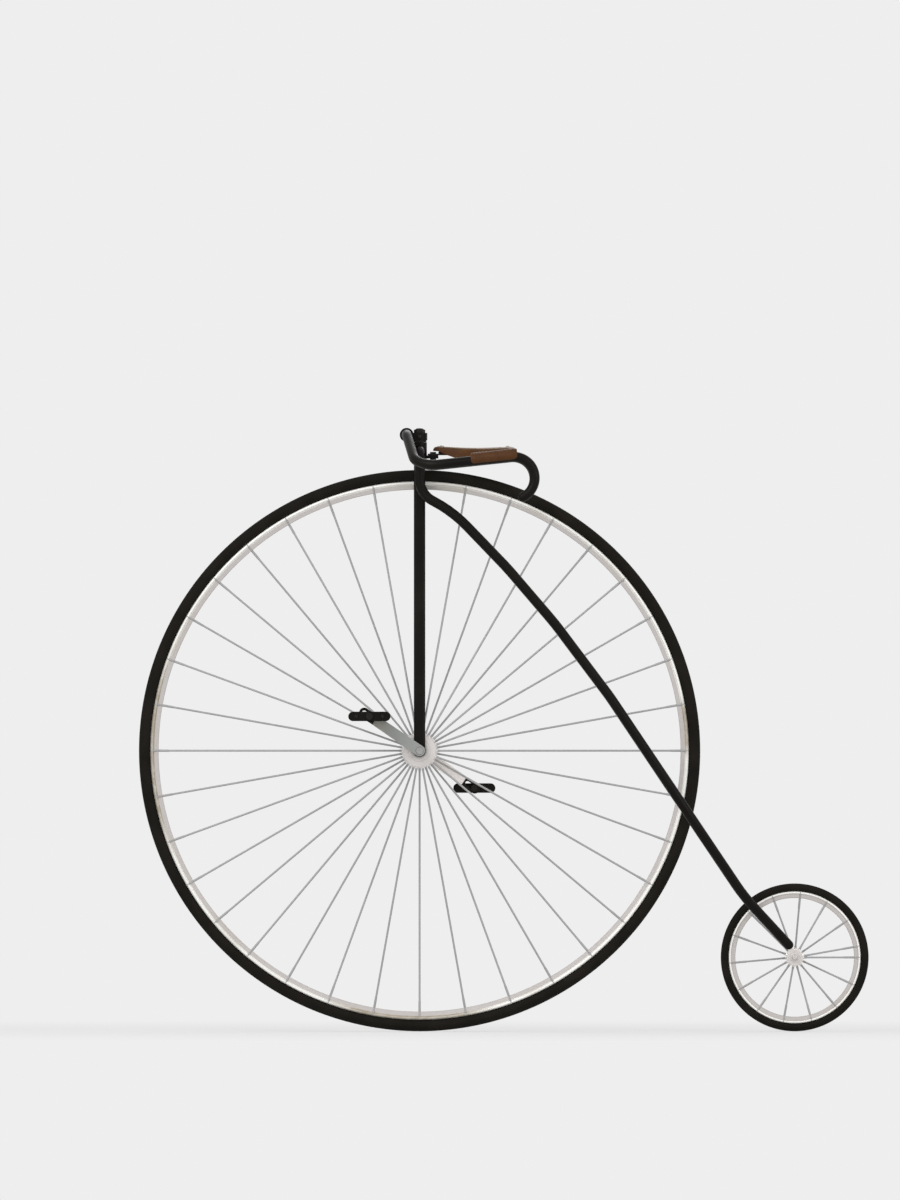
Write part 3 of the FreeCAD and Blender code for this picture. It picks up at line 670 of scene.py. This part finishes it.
def backbone_corners():
    """Corners of the right tube, in millimetres from the front hub."""
    head_z = (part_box("head_tube")[0].z - FRONT_HUB.z) / MM + HEAD_SOCKET_UP
    shoulder = Vector((0, HORSESHOE_HALF, SHOULDER_Z))
    end = Vector(REAR_END)
    chord = Vector((end.x - shoulder.x, 0, end.z - shoulder.z))
    rise = Vector((-chord.z, 0, chord.x)).normalized()
    corners = [shoulder + chord * share + rise * height for share, height, _ in BACKBONE_BENDS]
    widest = corners[WIDEST_BEND]
    widest.y = widest.x * math.tan(STEERING) + WIDEST_HALF_EXTRA
    for corner in corners:
        if corner.x <= widest.x:
            share = corner.x / widest.x
            corner.y = HORSESHOE_HALF + (widest.y - HORSESHOE_HALF) * share
        else:
            share = (corner.x - widest.x) / (end.x - widest.x)
            corner.y = widest.y + (end.y - widest.y) * share
    return [Vector((0, HEAD_SOCKET_OUT, head_z)), Vector((0, HORSESHOE_HALF, head_z)),
            shoulder, *corners, end]


def smooth_backbone(name, side):
    """One tube of the backbone, from the head to its rear lug."""
    bends = [HORSESHOE_BEND, SHOULDER_BEND] + [radius for _, _, radius in BACKBONE_BENDS]
    bent_tube("backbone_tube_" + name, "frame", backbone_corners(), bends, side,
              "backbone_" + name)


# ---- Handlebar ----
# Distances in millimetres from the front hub, and angles in degrees.
BAR_X = -31.5
BAR_BELOW_LUG_TOP = 17.0
BAR_STRAIGHT = 120.0
BAR_HALF = 262.0
BAR_CORNER_X = -8.0
BAR_BENDS = (80.0, 60.0, 52.0, 52.0)
HOOK = dict(x=229.0, below_saddle=75.2, start=96.0, end=-62.0, tail=2.0, rise=6.0)


def bar_corners():
    """Corners of the right half of the bar, in millimetres from the front hub."""
    saddle_top = (SADDLE_HIGH.z - FRONT_HUB.z) / MM
    bar_z = (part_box("handlebar_lug")[1].z - FRONT_HUB.z) / MM - BAR_BELOW_LUG_TOP
    radius = BAR_BENDS[-1]
    start = math.radians(HOOK["start"])
    half_turn = (start - math.radians(HOOK["end"])) / 2
    reach = radius * math.tan(half_turn / 2)

    def on_hook(angle, ahead):
        return Vector((HOOK["x"] + radius * math.cos(angle) + ahead * math.sin(angle), BAR_HALF,
                       saddle_top - HOOK["below_saddle"]
                       + radius * math.sin(angle) - ahead * math.cos(angle)))

    hook_start = on_hook(start, 0)
    fall = (hook_start.x - BAR_CORNER_X) * math.tan(math.radians(HOOK["rise"]))
    return [Vector((BAR_X, 0, bar_z)), Vector((BAR_X, BAR_STRAIGHT, bar_z)),
            Vector((BAR_CORNER_X, BAR_HALF, hook_start.z - fall)), on_hook(start, reach),
            on_hook(start - half_turn, reach), on_hook(start - 2 * half_turn, HOOK["tail"])]


def smooth_handlebar(name, side):
    """One half of the bar, from its lug to the hook's rounded tip."""
    bent_tube("handlebar_tube_" + name, "fork", bar_corners(), BAR_BENDS, side,
              "handlebar_" + name)


# ---- Grips, in metres ----
GRIP_RADIUS = 0.016
GRIP_RINGS = 150
GRIP_SIDES = 40
WRAP_PITCH = 0.009
WRAP_LAP = 0.0007
# The lap rises up to this share of a turn, then falls this steeply to the next turn.
LAP_TOP, LAP_FALL = 0.86, 6
WRAP_DEPTH = 0.0011
GRIP_SHOULDER = 0.008


def wrap_height(turn, angle):
    """How far the strip stands out at a share of its turn. The lap fades under the bar."""
    lap = WRAP_LAP * (turn if turn < LAP_TOP else (1 - turn) * LAP_FALL)
    return lap * (1 - min(1.0, max(0.0, (-math.sin(angle) - 0.45) / 0.3)))


def wrapped_grip(name, side):
    """A sleeve of leather strip wound round the bar, pressed flat where it meets the bar."""
    mesh = Mesh()
    low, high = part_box("grip_" + name)
    slope = math.radians(HOOK["rise"])
    along = outward_at(slope)
    reach = GRIP_RADIUS * math.sin(slope)
    rise = GRIP_RADIUS * math.cos(slope)
    start = Vector((low.x + reach, (low.y + high.y) / 2, low.z + rise))
    end = Vector((high.x - reach, start.y, high.z - rise))
    length = (end - start).length
    across = Vector((0, 1, 0))
    other = along.cross(across)
    points = []
    for ring in range(GRIP_RINGS + 1):
        distance = length * ring / GRIP_RINGS
        to_end = min(distance, length - distance)
        shoulder = min(1.0, to_end / GRIP_SHOULDER)
        rounding = math.sqrt(max(0.0, 1 - (1 - shoulder) ** 2))
        for index in range(GRIP_SIDES):
            angle = 2 * math.pi * index / GRIP_SIDES
            turn = (distance / WRAP_PITCH - side * index / GRIP_SIDES) % 1.0
            size = GRIP_RADIUS - WRAP_DEPTH + wrap_height(turn, angle)
            size *= 0.8 + 0.2 * rounding
            points.append(start + along * distance
                          + (across * math.cos(angle) + other * math.sin(angle)) * size)
    mesh.add(points, tube_faces(GRIP_RINGS + 1, GRIP_SIDES), "leather")
    mesh.piece("grip_wrapped_" + name, "fork", "brown_leather", ["grip_" + name], 50.0)


# ---- Pedals ----
TREAD_LENGTH = 36.0 * MM
RIB_PITCH = 6.5 * MM
GROOVE = 1.5 * MM
# Along one rib: share of its pitch, and how deep the block lies there.
RIB = [(0.0, GROOVE), (0.12, GROOVE), (0.24, 0.0), (0.76, 0.0), (0.88, GROOVE)]


def ribbed_rubbers(name):
    """Two moulded tread blocks with ribs across them."""
    mesh = Mesh()
    low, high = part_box("pedal_rubbers_" + name)
    reach = TREAD_LENGTH / 2
    half = (high.z - low.z) / 2
    middle_z = (low.z + high.z) / 2
    outline = []
    for way, first in ((1, -90), (-1, 90)):
        for step in range(9):
            angle = math.radians(first + 180 * step / 8)
            outline.append((way * (reach - half) + half * math.cos(angle),
                            half * math.sin(angle)))
    count = int((high.y - low.y) / RIB_PITCH)
    width = (high.y - low.y) / count
    stations = [(low.y + width * (rib + share), inset) for rib in range(count)
                for share, inset in RIB]
    stations.append((high.y, GROOVE))
    for middle_x in (low.x + reach, high.x - reach):
        points = [Vector((middle_x + x * (1 - inset / reach), y, middle_z + z * (1 - inset / half)))
                  for y, inset in stations for x, z in outline]
        faces = tube_faces(len(stations), len(outline))
        mesh.add(points, [tuple(reversed(face)) for face in faces], "pedal")
    mesh.piece("pedal_ribbed_" + name, "pedal_" + name, "pedal_rubber",
               ["pedal_rubbers_" + name], 30.0)


# ---- Saddle ----
SADDLE_NOSE_HALF = 24.0 * MM
SADDLE_SIDE = {
    "neck": (0.26, 0.07),
    "waist": (0.43, 0.32),
    "swell": (0.57, 0.68),
    "hip": (0.755, 1.0),
    "corner": (0.91, 0.88),
}
SKIRT_ARC = 260.0 * MM
SKIRT_LOWEST_BACK = 75.0 * MM
SADDLE_STEPS = 160
SPINE_LOW = SADDLE_LOW.x + SADDLE_NOSE_HALF
SPINE_HIGH = SADDLE_HIGH.x - 0.055
LEATHER_THICK = 4.5 * MM
ROUND_OVER = 8.5 * MM
# Rows of points on the seat, as shares of the way out, and down the skirt.
SEAT_ROWS = (0.0, 0.2, 0.4, 0.58, 0.74, 0.86, 0.93)
SKIRT_ROWS = (0.3, 0.6, 1.0)
# Rivets along the cantle, as steps round the saddle's outline.
CANTLE_RIVETS = (66, 73, 80, 87, 94)


def arc_through(first, second, third, steps):
    """Points on the circle through three points of a plane, the last one left out."""
    ax, ay = first
    bx, by = second
    cx, cy = third
    scale = 2 * (ax * (by - cy) + bx * (cy - ay) + cx * (ay - by))
    ux = ((ax * ax + ay * ay) * (by - cy) + (bx * bx + by * by) * (cy - ay)
          + (cx * cx + cy * cy) * (ay - by)) / scale
    uy = ((ax * ax + ay * ay) * (cx - bx) + (bx * bx + by * by) * (ax - cx)
          + (cx * cx + cy * cy) * (bx - ax)) / scale
    radius = math.hypot(ax - ux, ay - uy)
    start = math.atan2(ay - uy, ax - ux)
    through = (math.atan2(by - uy, bx - ux) - start) % (2 * math.pi)
    turn = (math.atan2(cy - uy, cx - ux) - start) % (2 * math.pi)
    if through > turn:
        turn -= 2 * math.pi
    return [(ux + radius * math.cos(start + turn * step / steps),
             uy + radius * math.sin(start + turn * step / steps)) for step in range(steps)]


def eased(outline, count, reach):
    """A closed outline resampled evenly, with its corners rounded by a moving mean."""
    lengths = [math.dist(point, outline[(index + 1) % len(outline)])
               for index, point in enumerate(outline)]
    step = sum(lengths) / count
    even = []
    walked = 0.0
    for index, length in enumerate(lengths):
        start, end = outline[index], outline[(index + 1) % len(outline)]
        while len(even) < count and step * len(even) < walked + length:
            share = (step * len(even) - walked) / length
            even.append((start[0] + (end[0] - start[0]) * share,
                         start[1] + (end[1] - start[1]) * share))
        walked += length
    window = range(-reach, reach + 1)
    return [tuple(sum(even[(index + shift) % count][axis] for shift in window) / len(window)
                  for axis in (0, 1)) for index in range(count)]


def saddle_edge():
    """The saddle's outline from above, as (x, y) points, once round from the nose."""
    nose_x, tail_x = SADDLE_LOW.x, SADDLE_HIGH.x
    tail_half = SADDLE_HIGH.y
    at = {name: (nose_x + (tail_x - nose_x) * along,
                 SADDLE_NOSE_HALF + (tail_half - SADDLE_NOSE_HALF) * growth)
          for name, (along, growth) in SADDLE_SIDE.items()}
    shoulder = (nose_x + SADDLE_NOSE_HALF, SADDLE_NOSE_HALF)
    slant = math.sqrt(0.5) * SADDLE_NOSE_HALF
    right = arc_through((nose_x, 0.0), (nose_x + SADDLE_NOSE_HALF - slant, slant), shoulder, 12)
    right += arc_through(shoulder, at["neck"], at["waist"], 16)
    right += arc_through(at["waist"], at["swell"], at["hip"], 14)
    hip, corner = at["hip"], at["corner"]
    right += [(hip[0] + (corner[0] - hip[0]) * step / 6,
               hip[1] + (corner[1] - hip[1]) * step / 6) for step in range(6)]
    across = arc_through(corner, (tail_x, 0.0), (corner[0], -corner[1]), 32)
    left = [(x, -y) for x, y in reversed(right[1:])]
    return eased(right + across + left, SADDLE_STEPS, 3)


def saddle_height(x, share):
    """Height of the seat over its lowest middle: the nose and cantle stand a little proud."""
    along = (x - SADDLE_LOW.x) / (SADDLE_HIGH.x - SADDLE_LOW.x)
    sag = 0.0045 * (2 * abs(along - 0.5)) ** 2
    return SADDLE_HIGH.z - 0.0006 + sag - 0.0042 * share ** 3


def skirt_foot(x):
    """Height of the skirt's lower edge."""
    lowest = SADDLE_HIGH.x - SKIRT_LOWEST_BACK
    away = min(abs(x - lowest), SKIRT_ARC * 0.95)
    return SADDLE_LOW.z + SKIRT_ARC - math.sqrt(SKIRT_ARC ** 2 - away ** 2)


def spine_beside(x):
    """The nearest place of the seat's middle line to a point of its edge."""
    return min(max(x, SPINE_LOW), SPINE_HIGH)


def seat_point(edge, share):
    """A point of the seat's top, from its spine at 0 to its edge at 1."""
    spine = spine_beside(edge[0])
    x = spine + (edge[0] - spine) * share
    return Vector((x, edge[1] * share, saddle_height(x, share)))


def inset_share(edge, inset):
    """The share of the way out that lies a set distance in from the edge."""
    return 1 - inset / math.hypot(edge[0] - spine_beside(edge[0]), edge[1])


def stretched_leather():
    """A seat of thick leather stretched from nose to cantle, with turned-down skirts."""
    mesh = Mesh()
    edge = saddle_edge()
    under = Vector((0, 0, LEATHER_THICK))
    points = []
    for x, y in edge:
        outward = Vector((x - spine_beside(x), y, 0)).normalized()
        inner = inset_share((x, y), ROUND_OVER)
        for share in SEAT_ROWS:
            points.append(seat_point((x, y), share * inner / SEAT_ROWS[-1]))
        top = seat_point((x, y), inner)
        foot = min(skirt_foot(x), top.z - ROUND_OVER - 0.002)
        for step in (1, 2, 3, 4):
            angle = math.pi / 2 * step / 4
            points.append(top + outward * ROUND_OVER * math.sin(angle)
                          - Vector((0, 0, ROUND_OVER * (1 - math.cos(angle)))))
        shoulder = points[-1].copy()
        for drop in SKIRT_ROWS:
            points.append(Vector((shoulder.x, shoulder.y,
                                  shoulder.z + (foot - shoulder.z) * drop)))
        points.append(Vector((shoulder.x, shoulder.y, foot)) - outward * LEATHER_THICK)
        points.append(shoulder - outward * LEATHER_THICK)
        points.append(top - under)
        points.append(seat_point((x, y), 0.0) - under)
    faces = grid_faces(len(edge), len(points) // len(edge), True, False)
    mesh.add(points, [tuple(reversed(face)) for face in faces], "leather")
    piece = mesh.piece("saddle_stretched_leather", "frame", "brown_leather",
                       ["saddle_leather"], 60.0)
    weld = piece.modifiers.new("weld", "WELD")
    weld.merge_threshold = 0.00005


# ---- Small fittings, in metres ----
SUNK = 0.0003
UP = Vector((0, 0, 1))


def outer_face(node, side):
    """The y of a piece's outer face, on its own side of the machine."""
    low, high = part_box(node)
    return high.y if side > 0 else low.y


def rivet(mesh, start, along, radius, look):
    """A domed head, sunk a little into what it stands on."""
    turned_along(mesh, start - along * radius * 0.2, along,
                 [(0, radius), (radius * 0.35, radius * 0.98), (radius * 0.6, radius * 0.78),
                  (radius * 0.78, radius * 0.45), (radius * 0.84, radius * 0.1)], 16, look)


def saddle_rivets():
    """Rivets that hold the leather at the nose and along the cantle."""
    mesh = Mesh()
    inset, radius = 0.021, 0.0048
    at_nose = [(SADDLE_LOW.x + 0.0005, 0.0), (SADDLE_LOW.x + 0.009, 0.017),
               (SADDLE_LOW.x + 0.009, -0.017)]
    edge = saddle_edge()
    at_cantle = [edge[index] for index in CANTLE_RIVETS]
    for point in at_nose + at_cantle:
        place = seat_point(point, inset_share(point, inset))
        rivet(mesh, place, UP, radius, "steel")
    mesh.piece("saddle_rivets", "frame", "grey_steel")


def saddle_stitching():
    """A row of waxed stitches round the edge of the seat."""
    mesh = Mesh()
    inset, pitch, length = 0.0115, 0.0068, 0.0046
    lift = Vector((0, 0, 0.0006))
    sink = Vector((0, 0, 0.0004))
    line = [seat_point(point, inset_share(point, inset)) for point in saddle_edge()]
    line.append(line[0])
    walked, due = 0.0, 0.0
    for start, end in zip(line, line[1:]):
        run = (end - start).length
        along = (end - start).normalized()
        while due < walked + run:
            place = start + along * (due - walked)
            tip = place + along * length
            swept(mesh, [place - sink, place + along * length * 0.2 + lift * 0.6,
                         place + along * length * 0.5 + lift,
                         place + along * length * 0.8 + lift * 0.6, tip - sink],
                  [0.0004, 0.0006, 0.0007, 0.0006, 0.0004], 6, "thread")
            due += pitch
        walked += run
    mesh.piece("saddle_stitching", "frame", "brown_leather", (), 60.0)


def pedal_nuts(name, side):
    """The nuts on the outer plate that hold the two treads, each with a bolt's end in it."""
    mesh = Mesh()
    low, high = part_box("pedal_frame_" + name)
    outward = Vector((0, side, 0))
    from_end, height, corner = 0.0195, 0.0034, 0.0056
    for x in (low.x + from_end, high.x - from_end):
        start = Vector((x, outer_face("pedal_frame_" + name, side) - side * SUNK,
                        (low.z + high.z) / 2))
        prism(mesh, start, outward, height, corner, 6, "black_steel")
        turned_along(mesh, start + outward * 0.003, outward,
                     [(0, 0.003), (0.0018, 0.003), (0.0022, 0.0026)], 12, "black_steel")
    mesh.piece("pedal_nuts_" + name, "pedal_" + name, "black_steel")


def axle_end(name, side):
    """The front axle's rounded end, with the lathe's centre in it."""
    mesh = Mesh()
    start = Vector((FRONT_HUB.x, outer_face("crank_" + name, side) - side * 0.0002, FRONT_HUB.z))
    turned_along(mesh, start, Vector((0, side, 0)),
                 [(0, 0.0094), (0.001, 0.0092), (0.0016, 0.0084), (0.0017, 0.0022),
                  (0.0008, 0.0005)], 32, "steel")
    mesh.piece("axle_end_" + name, "front_wheel", "grey_steel")


def tenon_rivets(name, side):
    """Two rivets through each tube and the tenon of its lug."""
    mesh = Mesh()
    radius = 0.0026
    end = placed(Vector(REAR_END), side)
    up = Vector((end.x - REAR_HUB.x, 0, end.z - REAR_HUB.z)).normalized()
    for distance in (0.0375, 0.0455):
        middle_of_tube = Vector((REAR_HUB.x, end.y, REAR_HUB.z)) + up * distance
        for way in (-1, 1):
            outward = Vector((0, way, 0))
            rivet(mesh, middle_of_tube + outward * (TUBE_RADIUS - SUNK), outward, radius,
                  "enamel")
    mesh.piece("tenon_rivets_" + name, "frame", "black_enamel")


def head_oiler():
    """A capped oil cup on the front of the head."""
    mesh = Mesh()
    low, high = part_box("head_tube")
    start = Vector((low.x + 0.001, 0, high.z - 0.011))
    turned_along(mesh, start, Vector((-1, 0, 0)),
                 [(0, 0.0032), (0.003, 0.0032), (0.0034, 0.0042), (0.0064, 0.0042),
                  (0.0068, 0.0036), (0.0078, 0.0024), (0.0082, 0.0006)], 20, "steel")
    mesh.piece("head_oiler", "frame", "grey_steel")


def steering_fittings():
    """The cap of the steerer, and a set screw on either side of the handlebar's collar."""
    mesh = Mesh()
    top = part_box("steerer")[1].z
    turned_along(mesh, Vector((FRONT_HUB.x, 0, top - SUNK)), UP,
                 [(0, 0.0106), (0.0012, 0.0105), (0.0026, 0.009), (0.0036, 0.006),
                  (0.004, 0.001)], 32, "black_steel")
    screw_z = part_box("top_cone")[1].z + 0.009
    out, height, corner = 0.0186, 0.0045, 0.0056
    for side in (-1, 1):
        start = Vector((FRONT_HUB.x, side * out, screw_z))
        prism(mesh, start, Vector((0, side, 0)), height, corner, 4, "black_steel")
    mesh.piece("steering_fittings", "fork", "black_steel")


# ---- Looks of the CAD nodes that stay ----
CAD_LOOKS = {
    "enamel": ("head_tube", "backbone_bridge", "fork_crown", "fork_blade_left",
               "fork_blade_right", "fork_end_left", "fork_end_right", "handlebar_lug",
               "pedal_frame_left", "pedal_frame_right"),
    "black_steel": ("steerer", "crown_race", "top_cone", "lock_nut", "saddle_pan",
                    "saddle_spring", "saddle_bolt", "pedal_pin_left", "pedal_pin_right"),
    # The rear lugs take the hub's lighter copy of the nickel, which is painted light.
    "hub": ("rear_lug_left", "rear_lug_right"),
    "plated": ("rear_axle", "rear_axle_nuts"),
    "crank_near_painted_shade": ("crank_left",),
    "crank_far_painted_light": ("crank_right",),
    "steel": ("front_axle",),
}


def soften(piece):
    """Modifiers that join the facets, dissolve flat ones and round the sharp edges."""
    weld = piece.modifiers.new("weld", "WELD")
    weld.merge_threshold = 0.00001
    flat = piece.modifiers.new("flat_faces", "DECIMATE")
    flat.decimate_type = "DISSOLVE"
    flat.angle_limit = math.radians(0.5)
    bevel = piece.modifiers.new("soft_edges", "BEVEL")
    bevel.width = 0.0007
    bevel.segments = 2
    bevel.angle_limit = math.radians(35.0)
    even = piece.modifiers.new("even_shading", "WEIGHTED_NORMAL")
    even.weight = 100
    even.keep_sharp = True


def dress_cad_nodes():
    """Each CAD node that stays gets its material, and softened edges."""
    for look, nodes in CAD_LOOKS.items():
        for node in nodes:
            materials = NODES[node].data.materials
            materials.clear()
            materials.append(MATERIALS[look])
            soften(NODES[node])


# ---- Light, floor and camera ----
SKY_STRENGTH = 0.62
FLOOR_SIZE = 9.0
FLOOR_STEPS = 24
FLOOR_BELOW = 0.0005
FADE_FROM, FADE_TO = 1.4, 3.0
LAMP_TARGET = Vector((0.2, 0, -0.7))
LAMP_SIZE = 3.0
LAMPS = {
    "key": dict(place=Vector((-2.6, -4.2, 2.6)), power=130.0),
    "fill": dict(place=Vector((3.4, -3.4, 1.0)), power=50.0),
    "back": dict(place=Vector((0.5, 4.0, 2.4)), power=60.0),
}
# A long lens, in millimetres. The big wheel's radius is this share of the picture's height,
# and the picture's middle is this far from the front hub.
LENS = 1200.0
SENSOR = 36.0
WHEEL_SHARE = 0.233875
AIM = Vector((0.0743, 0, 0.3682))


def light_path_share(tree):
    """One for camera, mirror and glass rays, and nothing for the light on the object."""
    path = tree.nodes.new("ShaderNodeLightPath")
    shown = arithmetic(tree, "MAXIMUM", path.outputs["Is Camera Ray"],
                       path.outputs["Is Glossy Ray"])
    return arithmetic(tree, "MAXIMUM", shown, path.outputs["Is Transmission Ray"])


def make_world():
    world = bpy.data.worlds.new("studio")
    world.use_nodes = True
    tree = world.node_tree
    tree.nodes.clear()
    lit = tree.nodes.new("ShaderNodeBackground")
    lit.inputs["Color"].default_value = (1, 1, 1, 1)
    lit.inputs["Strength"].default_value = SKY_STRENGTH
    seen = tree.nodes.new("ShaderNodeBackground")
    seen.inputs["Color"].default_value = BACKGROUND
    mix = tree.nodes.new("ShaderNodeMixShader")
    output = tree.nodes.new("ShaderNodeOutputWorld")
    tree.links.new(light_path_share(tree), mix.inputs[0])
    tree.links.new(lit.outputs[0], mix.inputs[1])
    tree.links.new(seen.outputs[0], mix.inputs[2])
    tree.links.new(mix.outputs[0], output.inputs["Surface"])
    bpy.context.scene.world = world


def make_floor():
    """A pale floor that keeps a soft shadow near the wheels and fades into the backdrop."""
    lines = range(FLOOR_STEPS + 1)
    points = [(FLOOR_SIZE * (column / FLOOR_STEPS - 0.5), FLOOR_SIZE * (row / FLOOR_STEPS - 0.5),
               GROUND_Z - FLOOR_BELOW) for row in lines for column in lines]
    mesh = bpy.data.meshes.new("floor")
    mesh.from_pydata(points, [], grid_faces(len(lines), len(lines), False, False))
    floor = new_object("floor", mesh)
    material, tree, shader, place = new_material("floor", srgb(222, 222, 222), 1.0, 0.0, 0.0)
    speckle = noise(tree, place, 30.0, 4.0)
    tree.links.new(ramp(tree, speckle, [(0.3, srgb(219, 219, 219)), (0.7, srgb(226, 226, 226))]),
                   shader.inputs["Base Color"])
    glow = tree.nodes.new("ShaderNodeEmission")
    glow.inputs["Color"].default_value = BACKGROUND
    fade = remap(tree, distance_from(tree, place, Vector()), FADE_FROM, FADE_TO, 0.5, 1.0)
    share = arithmetic(tree, "MULTIPLY", fade, light_path_share(tree))
    mix = tree.nodes.new("ShaderNodeMixShader")
    output = tree.nodes["Material Output"]
    tree.links.new(share, mix.inputs[0])
    tree.links.new(shader.outputs[0], mix.inputs[1])
    tree.links.new(glow.outputs[0], mix.inputs[2])
    tree.links.new(mix.outputs[0], output.inputs["Surface"])
    mesh.materials.append(material)


def make_lights():
    for name, row in LAMPS.items():
        data = bpy.data.lights.new(name, "AREA")
        data.shape = "DISK"
        data.size = LAMP_SIZE
        data.energy = row["power"]
        lamp = new_object(name, data)
        lamp.location = row["place"]
        towards = LAMP_TARGET - row["place"]
        lamp.rotation_euler = towards.to_track_quat("-Z", "Y").to_euler()


def make_camera():
    """A level view of the left side from far away, so that it is nearly without perspective."""
    data = bpy.data.cameras.new("camera")
    data.lens = LENS
    data.sensor_fit = "VERTICAL"
    data.sensor_height = SENSOR
    data.sensor_width = SENSOR
    camera = new_object("camera", data)
    distance = FRONT_RADIUS / WHEEL_SHARE * LENS / SENSOR
    data.clip_end = 2 * distance
    camera.location = FRONT_HUB + AIM + Vector((0, -distance, 0))
    camera.rotation_euler = (math.pi / 2, 0, 0)
    bpy.context.scene.camera = camera


bpy.context.scene.view_settings.view_transform = "Standard"
make_wheels()
for side_name, side_sign in SIDES.items():
    smooth_backbone(side_name, side_sign)
    smooth_handlebar(side_name, side_sign)
    wrapped_grip(side_name, side_sign)
    ribbed_rubbers(side_name)
    pedal_nuts(side_name, side_sign)
    axle_end(side_name, side_sign)
    tenon_rivets(side_name, side_sign)
stretched_leather()
saddle_rivets()
saddle_stitching()
head_oiler()
steering_fittings()
dress_cad_nodes()
make_world()
make_floor()
make_lights()
make_camera()
